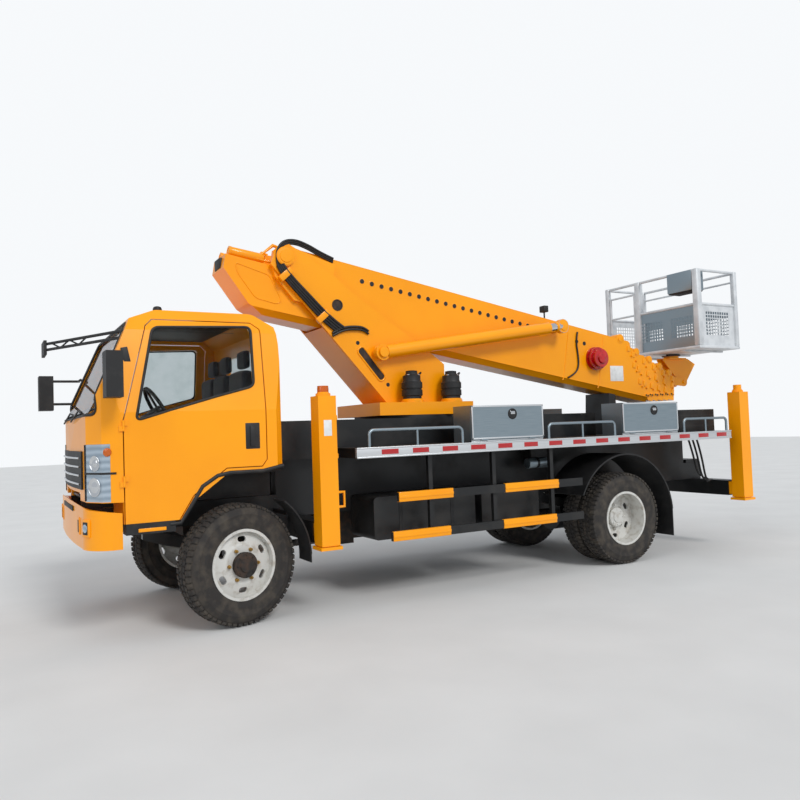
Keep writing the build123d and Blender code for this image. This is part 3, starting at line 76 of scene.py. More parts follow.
DECK_HALF_WIDTH = 1.12
DECK_TOP_Z = 1.356
GUARD_FACE_X = 1.104
BASKET_Y = FRONT_AXLE_Y + 6.172
BASKET_HALF_WIDTH = 0.76
BASKET_HALF_DEPTH = 0.372
BASKET_FLOOR_Z = 2.356
BASKET_TOP_Z = 3.33
BASKET_MID_Z = 2.9
GATE_EDGE_X = -0.24
# Each side: its sign along X and its name
SIDES = ((1, "left"), (-1, "right"))
RIGHT_FIRST = SIDES[::-1]


def at(station):
    """A place along the vehicle, from its distance behind the front axle."""
    return FRONT_AXLE_Y + station


def on_boom(x, s, n):
    """A point on the boom: s runs from the pivot to the tip, n stands square to it."""
    along = Vector((0, cos(BOOM_DROOP), -sin(BOOM_DROOP)))
    up = Vector((0, sin(BOOM_DROOP), cos(BOOM_DROOP)))
    return BOOM_PIVOT + along * s + up * n + Vector((x, 0, 0))


# Materials
def colour(text):
    """An sRGB hex colour as linear RGBA."""
    channels = [int(text[place:place + 2], 16) / 255 for place in (0, 2, 4)]
    linear = [c / 12.92 if c <= 0.04045 else ((c + 0.055) / 1.055) ** 2.4 for c in channels]
    return (*linear, 1)


def add(tree, kind, links=None, **settings):
    """One node with its settings, and its sockets set or linked."""
    made = tree.nodes.new(kind)
    for key, value in settings.items():
        setattr(made, key, value)
    for socket, value in (links or {}).items():
        if isinstance(value, bpy.types.NodeSocket):
            tree.links.new(value, made.inputs[socket])
        else:
            made.inputs[socket].default_value = value
    return made


def start(name, **shader_values):
    """A new material with its shader, and the place on the object that its patterns read."""
    material = bpy.data.materials.new(name)
    material.use_nodes = True
    tree = material.node_tree
    tree.nodes.clear()
    shader = add(tree, "ShaderNodeBsdfPrincipled")
    for socket, value in shader_values.items():
        shader.inputs[socket.replace("_", " ")].default_value = value
    output = add(tree, "ShaderNodeOutputMaterial")
    tree.links.new(shader.outputs["BSDF"], output.inputs["Surface"])
    place = add(tree, "ShaderNodeTexCoord").outputs["Object"]
    return material, tree, shader, place


def speckle(tree, place, grain, low, high, detail=4):
    """Noise with a grain in metres, stretched between two values."""
    noise = add(tree, "ShaderNodeTexNoise", {"Vector": place, "Scale": 1 / grain, "Detail": detail})
    span = {"Value": noise.outputs["Fac"], "From Min": low, "From Max": high}
    return add(tree, "ShaderNodeMapRange", span).outputs["Result"]


def mixed(tree, factor, first, second):
    """A colour between two, by a factor."""
    mix = add(tree, "ShaderNodeMix", data_type="RGBA")
    tree.links.new(factor, mix.inputs["Factor"])
    mix.inputs["A"].default_value = first
    mix.inputs["B"].default_value = second
    return mix.outputs["Result"]


def relief(tree, shader, height, depth, strength=1.0):
    """Relief of a depth in metres on the shader's surface."""
    bump = add(tree, "ShaderNodeBump", {"Height": height, "Distance": depth, "Strength": strength})
    tree.links.new(bump.outputs["Normal"], shader.inputs["Normal"])


def tint(tree, shader, factor, first, second):
    """Colour the shader between two hex colours, by a factor."""
    tree.links.new(mixed(tree, factor, colour(first), colour(second)), shader.inputs["Base Color"])


def roughen(tree, shader, factor, low, high):
    """Set the shader's roughness between two values, by a factor."""
    rough = add(tree, "ShaderNodeMapRange", {"Value": factor, "To Min": low, "To Max": high})
    tree.links.new(rough.outputs["Result"], shader.inputs["Roughness"])


def grained(tree, shader, place, grain, depth, strength):
    """Relief from fine noise: grain and depth in metres."""
    relief(tree, shader, speckle(tree, place, grain, 0.2, 0.8), depth, strength)


def mottled(name, first, second, patches, texture=None, **shader_values):
    """A finish that drifts between two colours.

    Patches give the drift's grain, low and high, and texture the relief's grain, depth and strength.
    """
    material, tree, shader, place = start(name, **shader_values)
    tint(tree, shader, speckle(tree, place, *patches), first, second)
    if texture:
        grained(tree, shader, place, *texture)
    return material


def black_enamel():
    """Chassis enamel over weld and casting: a satin black under thin road dust."""
    material, tree, shader, place = start("black_enamel", IOR=1.5)
    dust = speckle(tree, place, 0.25, 0.45, 0.8)
    tint(tree, shader, dust, "141516", "2C2A28")
    roughen(tree, shader, dust, 0.35, 0.7)
    grained(tree, shader, place, 0.01, 0.0003, 0.4)
    return material


def brushed_stainless():
    """Stainless sheet, brushed along the vehicle: fine grey streaks."""
    material, tree, shader, place = start("brushed_stainless", Metallic=0.85)
    stretched = add(tree, "ShaderNodeMapping", {"Vector": place, "Scale": (400, 6, 400)})
    streak = add(tree, "ShaderNodeTexNoise", {"Vector": stretched.outputs["Vector"], "Scale": 1.0})
    tint(tree, shader, streak.outputs["Fac"], "7E8E98", "A6B2B8")
    roughen(tree, shader, streak.outputs["Fac"], 0.28, 0.45)
    return material


def bright_chrome():
    """Hard chrome on a ground rod or a pressed trim: a mirror with faint hairlines."""
    material, tree, shader, place = start("bright_chrome", Metallic=1.0)
    tint(tree, shader, speckle(tree, place, 0.1, 0.4, 0.7), "D9DBDD", "C9CCCF")
    roughen(tree, shader, speckle(tree, place, 0.02, 0.3, 0.7), 0.06, 0.16)
    return material


def chequer_plate():
    """Rolled chequer plate in dark enamel: raised lozenges about 30 mm apart."""
    material, tree, shader, place = start("chequer_plate", Roughness=0.5, Metallic=0.3)
    turned = add(tree, "ShaderNodeMapping",
                 {"Vector": place, "Rotation": (0, 0, radians(45)), "Scale": (33, 33, 33)})
    lozenge = add(tree, "ShaderNodeTexChecker", {"Vector": turned.outputs["Vector"], "Scale": 1.0})
    tint(tree, shader, speckle(tree, place, 0.2, 0.4, 0.8), "1B1C1E", "3A3835")
    relief(tree, shader, lozenge.outputs["Fac"], 0.0015, 0.7)
    return material


def aluminium_edge():
    """Extruded aluminium edging: pale satin metal with drawn lines along it."""
    material, tree, shader, place = start("aluminium_edge", Metallic=0.7, Roughness=0.38)
    stretched = add(tree, "ShaderNodeMapping", {"Vector": place, "Scale": (60, 2, 300)})
    line = add(tree, "ShaderNodeTexNoise", {"Vector": stretched.outputs["Vector"], "Scale": 1.0})
    tint(tree, shader, line.outputs["Fac"], "C6CACD", "E2E4E5")
    return material


def reflective_red():
    """Prismatic tape: red film over cells about 4 mm across."""
    material, tree, shader, place = start("reflective_red", Roughness=0.3, Coat_Weight=0.6)
    cells = add(tree, "ShaderNodeTexVoronoi", {"Vector": place, "Scale": 250.0})
    tint(tree, shader, cells.outputs["Distance"], "C01418", "9C0F14")
    return material


def woven_cloth():
    """Woven seat cloth: crossed threads 3 mm apart, drawn coarse enough to show."""
    material, tree, shader, place = start("woven_cloth", Roughness=0.9, Sheen_Weight=0.3)
    warp, weft = (add(tree, "ShaderNodeTexWave", {"Vector": place, "Scale": 50.0}, bands_direction=axis)
                  for axis in "XZ")
    weave = add(tree, "ShaderNodeMath", {0: warp.outputs["Fac"], 1: weft.outputs["Fac"]},
                operation="MULTIPLY")
    tint(tree, shader, weave.outputs["Value"], "2A2D33", "474C55")
    relief(tree, shader, weave.outputs["Value"], 0.0008, 0.6)
    return material


def window_glass():
    """Laminated glass with a faint green tint and a little dust."""
    material, tree, shader, place = start("window_glass", Transmission_Weight=1.0, IOR=1.15)
    dust = speckle(tree, place, 0.15, 0.45, 0.85)
    tint(tree, shader, dust, "F1F6F5", "E2EAE8")
    roughen(tree, shader, dust, 0.0, 0.015)
    return material


def ribbed_lens(name, first, second, scale, axis, distortion=0.0, **shader_values):
    """Moulded clear plastic with ribs across one axis."""
    material, tree, shader, place = start(name, **shader_values)
    rib = add(tree, "ShaderNodeTexWave", {"Vector": place, "Scale": scale, "Distortion": distortion},
              bands_direction=axis)
    tint(tree, shader, rib.outputs["Fac"], first, second)
    return material


# Sprayed yellow enamel with a clear gloss and a faint orange peel
YELLOW = mottled("yellow_enamel", "FFA400", "F99C00", (0.6, 0.35, 0.7), (0.006, 0.0002, 0.35), Roughness=0.3,
                 Specular_IOR_Level=0.35, Coat_Weight=0.16, Coat_Roughness=0.08)
BLACK = black_enamel()
# Sand-cast iron with rust bloom
IRON = mottled("cast_iron", "2E2B29", "4B3A30", (0.05, 0.4, 0.7), (0.004, 0.0006, 0.6), Roughness=0.75,
               Metallic=0.3)
# Moulded tyre rubber with road dust in its grain
RUBBER = mottled("tyre_rubber", "2A2725", "4B443B", (0.08, 0.42, 0.75), (0.003, 0.0004, 0.5),
                 Roughness=0.82, IOR=1.5)
# Steel wheel in silver-white enamel
RIM = mottled("rim_enamel", "CFCEC9", "A39B8D", (0.06, 0.5, 0.8), (0.005, 0.0002, 0.3), Roughness=0.42,
              Metallic=0.15, IOR=1.5)
STAINLESS = brushed_stainless()
CHROME = bright_chrome()
# Aluminium in pale grey enamel, dulled by weather
BASKET = mottled("basket_enamel", "DADDDF", "BFC3C6", (0.12, 0.4, 0.8), (0.004, 0.0002, 0.3), Roughness=0.4,
                 Metallic=0.2, IOR=1.5)
CHEQUER = chequer_plate()
EDGE = aluminium_edge()
TAPE = reflective_red()
# Glossy red enamel on the winch gearbox
RED = mottled("red_enamel", "C4060C", "A30409", (0.05, 0.4, 0.7), Roughness=0.25, IOR=1.5, Coat_Weight=0.6)
# Black plastic with a leather grain, and the grey plastic of the cab's inside
MOULDING = mottled("black_moulding", "19191A", "2D2C2B", (0.1, 0.45, 0.8), (0.0025, 0.0003, 0.5),
                   Roughness=0.55,
                   IOR=1.46)
GREY = mottled("grey_moulding", "4A4B4D", "3F4042", (0.1, 0.4, 0.7), (0.002, 0.0003, 0.5), Roughness=0.6,
               IOR=1.46)
CLOTH = woven_cloth()
GLASS = window_glass()
LENS = ribbed_lens("lamp_lens", "B4C3D0", "8FA0AE", 6.0, "Z", 2.0, Metallic=0.5, Roughness=0.1,
                   Coat_Weight=1.0)
AMBER = ribbed_lens("amber_lens", "F07A10", "C85406", 40.0, "Z", Roughness=0.15, Transmission_Weight=0.3,
                    IOR=1.58)
TAIL = ribbed_lens("red_lens", "B0121A", "7A0A10", 40.0, "X", Roughness=0.15, IOR=1.58)
HOSE = mottled("hose_rubber", "121212", "222120", (0.05, 0.4, 0.7), (0.003, 0.0002, 0.4), Roughness=0.45,
               IOR=1.5)
# Bare white film where a sign goes
FILM = mottled("pale_film", "E6E7E6", "D2D3D1", (0.05, 0.4, 0.8), Roughness=0.45)
# Yellow passivated steel of the front wheel nuts, gone brown
PLATED = mottled("plated_steel", "B8924A", "7A5C2E", (0.02, 0.3, 0.7), Metallic=0.75, Roughness=0.42)


# Modelling helpers
def deselect():
    """Select nothing."""
    bpy.ops.object.select_all(action="DESELECT")


def only(obj):
    """Select one object and nothing else."""
    deselect()
    obj.select_set(True)
    bpy.context.view_layer.objects.active = obj
    return obj


def bake(obj):
    """Put an object's place, turn and scale into its mesh."""
    only(obj)
    bpy.ops.object.transform_apply(location=True, rotation=True, scale=True)


def merge(parts):
    """Several objects as one mesh, in the first of them."""
    deselect()
    for part in parts:
        part.select_set(True)
    bpy.context.view_layer.objects.active = parts[0]
    bpy.ops.object.join()
    return parts[0]


def settle(obj, name, body, material, smooth=35):
    """Bake a piece's place into its mesh, give it its finish and fix it to its body."""
    bake(obj)
    obj.name = name
    obj.data.name = name
    obj.data.materials.clear()
    obj.data.materials.append(material)
    bpy.ops.object.shade_smooth_by_angle(angle=radians(smooth))
    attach(obj, body)
    return obj


def modify(obj, kind, **settings):
    """Give the selected piece a modifier and apply it."""
    bpy.ops.object.modifier_add(type=kind)
    modifier = obj.modifiers[-1]
    for key, value in settings.items():
        setattr(modifier, key, value)
    bpy.ops.object.modifier_apply(modifier=modifier.name)


def bevelled(obj, width, segments=2):
    """Round a piece's sharp edges."""
    only(obj)
    bpy.ops.object.transform_apply(location=False, rotation=False, scale=True)
    modify(obj, "BEVEL", width=width, segments=segments, limit_method="ANGLE")
    return obj


def raw_block(low, high, bevel=0.003, turn=(0, 0, 0)):
    """A bevelled block between two corners, turned about its own middle."""
    low, high = Vector(low), Vector(high)
    size = Vector([max(abs(part), 1e-4) for part in high - low])
    deselect()
    bpy.ops.mesh.primitive_cube_add(size=1, location=(low + high) / 2, rotation=turn, scale=size)
    return bevelled(bpy.context.object, min(bevel, min(size) * 0.4))


def block(name, low, high, body, material, bevel=0.003, turn=(0, 0, 0)):
    """A finished block on its body."""
    return settle(raw_block(low, high, bevel, turn), name, body, material)


def raw_bar(start_point, end_point, radius, sides=24, bevel=0.0015):
    """A round bar between two points."""
    start_point, end_point = Vector(start_point), Vector(end_point)
    run = end_point - start_point
    deselect()
    bpy.ops.mesh.primitive_cylinder_add(
        vertices=sides, radius=radius, depth=run.length, location=(start_point + end_point) / 2,
        rotation=run.to_track_quat("Z", "Y").to_euler())
    return bevelled(bpy.context.object, bevel)


def bar(name, start_point, end_point, radius, body, material, sides=24):
    """A finished round bar on its body."""
    return settle(raw_bar(start_point, end_point, radius, sides), name, body, material)


def raw_turned(base, direction, profile, sides=48):
    """A solid turned about an axis: the profile is (radius, height) from its base up."""
    first_radius, first_height = profile[0]
    deselect()
    bpy.ops.mesh.primitive_circle_add(vertices=sides, radius=first_radius, fill_type="NGON",
                                      location=(0, 0, first_height))
    obj = bpy.context.object
    bpy.ops.object.transform_apply(location=True, rotation=False, scale=False)
    bpy.ops.object.mode_set(mode="EDIT")
    bpy.ops.mesh.select_all(action="SELECT")
    radius, height = first_radius, first_height
    for next_radius, next_height in profile[1:]:
        bpy.ops.mesh.extrude_region_move(TRANSFORM_OT_translate={"value": (0, 0, next_height - height)})
        ratio = next_radius / radius
        bpy.ops.transform.resize(value=(ratio, ratio, 1), center_override=(0, 0, next_height))
        radius, height = next_radius, next_height
    bpy.ops.mesh.select_all(action="SELECT")
    bpy.ops.mesh.normals_make_consistent(inside=False)
    bpy.ops.object.mode_set(mode="OBJECT")
    turn = Vector(direction).to_track_quat("Z", "Y").to_matrix().to_4x4()
    obj.matrix_world = Matrix.Translation(Vector(base)) @ turn
    return obj


def turned(name, base, direction, profile, body, material, sides=48):
    """A finished turned solid on its body."""
    return settle(raw_turned(base, direction, profile, sides), name, body, material, 30)


def raw_tube(points, radius, closed=False, smooth=True, sides=4):
    """A bent tube through points, as a mesh."""
    data = bpy.data.curves.new("route", "CURVE")
    data.dimensions = "3D"
    data.bevel_depth = radius
    data.bevel_resolution = sides
    data.resolution_u = 6
    data.use_fill_caps = not closed
    spline = data.splines.new("NURBS" if smooth else "POLY")
    spline.points.add(len(points) - 1)
    for point, place in zip(spline.points, points):
        point.co = (*place, 1)
    spline.use_cyclic_u = closed
    if smooth:
        spline.order_u = 3
        spline.use_endpoint_u = not closed
    obj = bpy.data.objects.new("route", data)
    bpy.context.collection.objects.link(obj)
    only(obj)
    bpy.ops.object.convert(target="MESH")
    return bpy.context.object


def tube(name, points, radius, body, material, closed=False, smooth=True):
    """A finished bent tube on its body."""
    return settle(raw_tube(points, radius, closed, smooth), name, body, material, 60)


def joined(parts, name, body, material, smooth=35):
    """Several raw pieces as one mesh."""
    for part in parts:
        bake(part)
    merge(parts)
    return settle(parts[0], name, body, material, smooth)


def ring_of(template, count, axis="X"):
    """A raw piece repeated round an axis through the origin."""
    deselect()
    turn = {"X": (2 * pi / count, 0, 0), "Z": (0, 0, 2 * pi / count)}[axis]
    bpy.ops.object.empty_add(location=(0, 0, 0), rotation=turn)
    pivot = bpy.context.object
    bake(template)
    modify(template, "ARRAY", count=count, use_relative_offset=False, use_object_offset=True,
           offset_object=pivot)
    bpy.data.objects.remove(pivot)
    return template


def copy_to(template, matrix):
    """A copy of a raw piece with its own mesh, moved by a matrix."""
    twin = template.copy()
    twin.data = template.data.copy()
    bpy.context.collection.objects.link(twin)
    twin.matrix_world = matrix @ template.matrix_world
    return twin


def finish_node(node, material):
    """A CAD node keeps its shape and takes a material."""
    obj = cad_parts[node]
    obj.data.materials.clear()
    obj.data.materials.append(material)


NODE_FINISHES = {
    YELLOW: ("cab_shell", "cab_door_left", "cab_door_right", "bumper", "turret", "lift_barrels",
             "basket_bracket"),
    BLACK: ("chassis_frame", "front_axle", "rear_axle", "side_tanks", "subframe", "boom_rests",
            "side_guards",
            "front_left_knuckle", "front_right_knuckle"),
    IRON: ("drivetrain",),
    RIM: ("front_left_rim", "front_right_rim", "rear_left_rims", "rear_right_rims"),
    CHEQUER: ("deck",),
    STAINLESS: ("toolboxes", "handrails"),
    GLASS: ("cab_glass", "cab_door_glass_left", "cab_door_glass_right"),
    LENS: ("headlamps",),
    MOULDING: ("cab_trim", "mudguards", "steering_wheel"),
    GREY: ("dashboard",),
    CHROME: ("lift_rods",),
    BASKET: ("basket_gate",),
}
for material, names in NODE_FINISHES.items():
    for name in names:
        finish_node(name, material)
for number in range(1, 7):
    finish_node(f"boom_section_{number}", YELLOW)
for _, name in SIDES:
    for place in ("front", "rear"):
        finish_node(f"outrigger_beam_{place}_{name}", YELLOW)
        finish_node(f"outrigger_leg_{place}_{name}", YELLOW)
        finish_node(f"toolbox_door_{place}_{name}", STAINLESS)


# Tyres: one tyre about +X, its carcass spun and its lugs repeated round it
LUG_COUNT = 60


def tyre_carcass():
    """The carcass: a closed section spun round the axle."""
    half = TYRE_WIDTH / 2
    tread = TYRE_RADIUS - 0.0095
    # From one bead to the middle of the tread: radius, and how far inside the tyre's side
    wall = (
        (BEAD_RADIUS, 0.022), (0.292, 0.006), (0.326, 0.001), (0.33, -0.0005), (0.336, 0.001),
        (0.392, 0.001),
        (0.396, -0.0005), (0.402, 0.003), (0.44, 0.01), (0.462, 0.026), (tread, 0.05),
    )
    section = [(radius, inset - half) for radius, inset in wall]
    section += [(radius, half - inset) for radius, inset in reversed(wall)]
    mesh = bpy.data.meshes.new("carcass")
    points = [(along, 0, radius) for radius, along in section]
    edges = [(index, (index + 1) % len(points)) for index in range(len(points))]
    mesh.from_pydata(points, edges, [])
    obj = bpy.data.objects.new("carcass", mesh)
    bpy.context.collection.objects.link(obj)
    only(obj)
    bpy.ops.object.mode_set(mode="EDIT")
    bpy.ops.mesh.select_all(action="SELECT")
    bpy.ops.mesh.spin(steps=96, angle=2 * pi, center=(0, 0, 0), axis=(1, 0, 0))
    bpy.ops.mesh.select_all(action="SELECT")
    bpy.ops.mesh.remove_doubles(threshold=0.0002)
    bpy.ops.mesh.normals_make_consistent(inside=False)
    bpy.ops.object.mode_set(mode="OBJECT")
    return obj


def tyre_template():
    """Carcass, shoulder lugs on both sides and two rows of middle blocks."""
    parts = [tyre_carcass()]
    top = TYRE_RADIUS - 0.0012
    half_turn = pi / LUG_COUNT
    for side in (-1, 1):
        shoulder = raw_block((side * 0.052, -0.0185, top - 0.024), (side * 0.108, 0.0185, top - 0.0035),
                             0.004,
                             (0, side * radians(12), side * radians(5)))
        parts.append(ring_of(shoulder, LUG_COUNT))
        middle = raw_block((side * 0.006, -0.018, top - 0.02), (side * 0.046, 0.018, top), 0.003,
                           (0, 0, side * radians(-18)))
        bake(middle)
        middle.matrix_world = Matrix.Rotation(half_turn, 4, "X")
        parts.append(ring_of(middle, LUG_COUNT))
    return merge(parts)


def wheel_matrix(side, base_x, base_y, along, turn):
    """Where a wheel centre stands, its +X turned outwards along its axle."""
    outward = Vector((side * cos(turn), side * sin(turn), 0))
    heading = Matrix.Rotation(atan2(outward.y, outward.x), 4, "Z")
    return Matrix.Translation(Vector((base_x, base_y, AXLE_Z)) + outward * along) @ heading


NUT_CIRCLE = 0.128
# Each wheel body: name, side, centre line x and y, tyre places along its axle, steer angle
FRONT_PLACES = (FRONT_TYRE_FROM_PIN,)
REAR_PLACES = (REAR_OUTER_X, REAR_INNER_X)
WHEELS = (
    ("front_left", 1, KINGPIN_X, FRONT_AXLE_Y, FRONT_PLACES, STEER_AT_REST),
    ("front_right", -1, -KINGPIN_X, FRONT_AXLE_Y, FRONT_PLACES, STEER_AT_REST),
    ("rear_left", 1, 0, REAR_AXLE_Y, REAR_PLACES, 0),
    ("rear_right", -1, 0, REAR_AXLE_Y, REAR_PLACES, 0),
)


def hub_fittings(name, body, matrix, front):
    """Wheel nuts, and the hub cap with its ring of bolts."""
    face = 0.083 if front else -0.077
    reach = 0.136 if front else -0.024
    nuts = []
    count = 6 if front else 8
    for index in range(count):
        angle = 2 * pi * index / count
        y, z = NUT_CIRCLE * cos(angle), NUT_CIRCLE * sin(angle)
        nuts.append(raw_bar((face - 0.002, y, z), (face + 0.02, y, z), 0.015, 6))
        nuts.append(raw_bar((face + 0.02, y, z), (face + 0.034, y, z), 0.008, 12))
    for nut in nuts:
        nut.matrix_world = matrix @ nut.matrix_world
    joined(nuts, f"{name}_nuts", body, PLATED if front else RIM)
    profile = ((0.0985, face + 0.004), (0.0985, face + 0.012), (0.0972, face + 0.02), (0.0972, reach - 0.02),
               (0.101, reach - 0.02), (0.101, reach - 0.006), (0.094, reach + 0.001), (0.06, reach + 0.002),
               (0.054, reach + 0.012), (0.03, reach + 0.014))
    cap = raw_turned((0, 0, 0), (1, 0, 0), profile)
    cap.matrix_world = matrix @ cap.matrix_world
    settle(cap, f"{name}_hub_cap", body, IRON if front else RIM, 30)
    bolts = ring_of(raw_bar((reach - 0.002, 0, 0.08), (reach + 0.009, 0, 0.08), 0.0075, 6), 8)
    bolts.matrix_world = matrix @ bolts.matrix_world
    settle(bolts, f"{name}_hub_bolts", body, IRON if front else RIM)


template = tyre_template()
for name, side, base_x, base_y, places, turn in WHEELS:
    body = ("front_wheel_" if name.startswith("front") else "rear_wheel_") + name.split("_")[1]
    node = f"{name}_tyre" + ("s" if len(places) > 1 else "")
    for index, along in enumerate(places):
        matrix = wheel_matrix(side, base_x, base_y, along, turn)
        piece = settle(copy_to(template, matrix), f"{name}_tread_{index}", body, RUBBER)
        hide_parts(node)
    matrix = wheel_matrix(side, base_x, base_y, places[0], turn)
    hub_fittings(name, body, matrix, name.startswith("front"))
bpy.data.objects.remove(template)


# Cab
def side_x(z):
    """The cab's half width at a height."""
    lean = (0.095 / 0.63) * max(0, z - 1.7)
    return CAB_HALF_WIDTH - lean


def nose_y(x, z):
    """Where the cab's front face stands, at a place across and a height."""
    plan = ((0, -1.112), (0.78, -1.075), (0.94, -0.985), (1.0, -0.86))
    slope = ((1.04, -1.1), (1.4, -1.112), (1.64, -1.098), (2.425, -0.76), (2.505, -0.56))

    def read(table, value):
        for (low, low_y), (high, high_y) in zip(table, table[1:]):
            if value <= high:
                return low_y + (high_y - low_y) * (value - low) / (high - low)
        return table[-1][1]

    return at(max(read(plan, abs(x)), read(slope, z)))


def rounded(points, radius, steps=5):
    """A closed outline of 2-D points with its corners rounded."""
    rounded_points = []
    count = len(points)
    for index in range(count):
        before = Vector(points[index - 1])
        here = Vector(points[index])
        after = Vector(points[(index + 1) % count])
        start_point = here + (before - here).normalized() * radius
        end_point = here + (after - here).normalized() * radius
        for step in range(steps + 1):
            t = step / steps
            first = start_point.lerp(here, t)
            second = here.lerp(end_point, t)
            rounded_points.append(first.lerp(second, t))
    return rounded_points


DOOR_WINDOW = ((-0.751, 1.637), (-0.6, 2.352), (0.174, 2.38), (0.168, 1.893), (-0.155, 1.809))
for side, name in SIDES:
    outline = rounded(DOOR_WINDOW, 0.05)
    tube(f"window_seal_{name}", [(side * (side_x(z) - 0.001), at(y), z) for y, z in outline], 0.011,
         f"door_{name}", MOULDING, closed=True, smooth=False)
    x = side * side_x(1.5)
    block(f"door_handle_pan_{name}", (x - side * 0.02, at(0.075), 1.385), (x + side * 0.002, at(0.2), 1.6),
          f"door_{name}", MOULDING, 0.012)
    block(f"door_handle_{name}", (x, at(0.115), 1.41), (x + side * 0.012, at(0.16), 1.575),
          f"door_{name}", MOULDING, 0.006)
    block(f"pillar_vent_{name}", (side * (side_x(2.1) - 0.004), at(-0.825), 2.03),
          (side * (side_x(2.1) + 0.003), at(-0.775), 2.19), "cab", MOULDING, 0.004, (radians(12), 0, 0))
    lamp_x = side * (CAB_HALF_WIDTH + 0.003)
    block(f"sill_marker_{name}", (lamp_x, at(-0.75), 0.812), (lamp_x + side * 0.006, at(-0.55), 0.838),
          "cab", YELLOW, 0.003)
    card_x = side * (CAB_HALF_WIDTH - 0.047)
    block(f"door_card_{name}", (card_x, at(-0.79), 1.05), (card_x - side * 0.004, at(-0.36), 1.58),
          f"door_{name}", GREY, 0.002)
    block(f"door_card_rear_{name}", (card_x, at(-0.36), 1.27), (card_x - side * 0.004, at(0.2), 1.6),
          f"door_{name}", GREY, 0.002)
    liner_x = side * 0.655
    block(f"wheel_liner_{name}", (liner_x, at(-0.3), 0.985), (liner_x + side * 0.012, at(0.385), 1.222),
          "cab", MOULDING,
          0.004)
    block(f"liner_roof_{name}", (liner_x, at(-0.24), 1.196), (side * 0.955, at(0.385), 1.208), "cab",
          MOULDING, 0.004)
    arch = ((-0.52, 0.862), (-0.44, 0.866), (-0.345, 1.012), (-0.27, 1.13), (-0.15, 1.205), (-0.05, 1.222),
            (0.12, 1.222), (0.215, 1.222), (0.39, 1.255))
    tube(f"arch_lip_{name}", [(side * (CAB_HALF_WIDTH - 0.006), at(y), z - 0.012) for y, z in arch], 0.017,
         "cab", MOULDING, smooth=False)

# Windscreen seal and wipers
screen = rounded(((-0.9, 1.69), (-0.79, 2.4), (0.79, 2.4), (0.9, 1.69)), 0.07)
dense = []
for (x0, z0), (x1, z1) in zip(screen, screen[1:] + screen[:1]):
    steps = max(1, int(hypot(x1 - x0, z1 - z0) / 0.04))
    for step in range(steps):
        t = step / steps
        x, z = x0 + (x1 - x0) * t, z0 + (z1 - z0) * t
        dense.append((x, nose_y(x, z) + 0.001, z))
tube("windscreen_seal", dense, 0.011, "cab", MOULDING, closed=True, smooth=False)
for index, (foot_x, tip_x) in enumerate(((-0.62, -0.05), (0.05, 0.6))):
    foot = (foot_x, nose_y(foot_x, 1.66) - 0.016, 1.66)
    elbow = (foot_x + 0.28, nose_y(foot_x + 0.28, 1.74) - 0.02, 1.74)
    tip = (tip_x, nose_y(tip_x, 1.72) - 0.016, 1.72)
    tube(f"wiper_arm_{index}", (foot, elbow, tip), 0.007, "cab", MOULDING, smooth=False)
    blade_end = (tip_x + 0.02, nose_y(tip_x + 0.02, 2.0) - 0.012, 1.76)
    tube(f"wiper_blade_{index}", ((foot_x + 0.1, nose_y(foot_x + 0.1, 1.7) - 0.012, 1.7), blade_end), 0.008,
         "cab",
         MOULDING, smooth=False)

# Grille bars, lamps in the corners, roof lamp and the mirror's brace
for index in range(4):
    z = 1.17 + index * 0.066
    bars = [(x * 0.1, nose_y(x * 0.1, z) - 0.019, z) for x in range(-6, 7)]
    tube(f"grille_bar_{index}", bars, 0.009, "cab", CHROME, smooth=False)
for side, name in SIDES:
    bowl_places = ((0.868, 1.33, 0.058), (0.862, 1.155, 0.07))
    for index, (x, z, radius) in enumerate(bowl_places):
        y = nose_y(x, z) + 0.002
        direction = Vector((side * 0.55, -1, 0)).normalized()
        turned(f"lamp_bowl_{name}_{index}", (side * x, y, z), direction,
               ((radius, -0.02), (radius, 0.006), (radius * 0.94, 0.008), (radius * 0.88, 0.006),
                (radius * 0.5, 0.002), (radius * 0.34, 0.006), (radius * 0.14, 0.008)), "cab", CHROME)
    edge = []
    for z in (1.05, 1.12, 1.2, 1.28, 1.36, 1.44, 1.468):
        edge.append((side * 0.742, nose_y(0.742, z) - 0.001, z))
    tube(f"lamp_edge_{name}", edge, 0.006, "cab", MOULDING, smooth=False)
    split = [(side * x, nose_y(x, 1.255) - 0.001, 1.255) for x in (0.745, 0.78, 0.84, 0.9, 0.94, 0.965,
                                                                   0.985)]
    tube(f"lamp_split_{name}", split, 0.008, "cab", MOULDING, smooth=False)
    turned(f"turn_lamp_{name}", (side * 0.955, nose_y(0.955, 1.42) + 0.004, 1.41), (side * 0.8, -0.6, 0),
           ((0.032, -0.01), (0.032, 0.003), (0.028, 0.008), (0.012, 0.011)), "cab", AMBER, 24)
turned("roof_lamp", (0.5, at(-0.48), 2.5), (0, 0, 1),
       ((0.045, 0), (0.045, 0.02), (0.036, 0.03), (0.036, 0.06), (0.03, 0.075), (0.014, 0.082)), "cab",
       MOULDING, 32)

arm_root, arm_tip = Vector((0.83, at(-0.79), 2.33)), Vector((-0.19, at(-1.275), 2.33))
zigzag = []
for index, share in enumerate((0.45, 0.55, 0.67, 0.79, 0.91)):
    zigzag.append(arm_root.lerp(arm_tip, share) - Vector((0, 0, 0.05 * (index % 2))))
tube("mirror_brace", zigzag, 0.007, "cab", MOULDING, smooth=False)

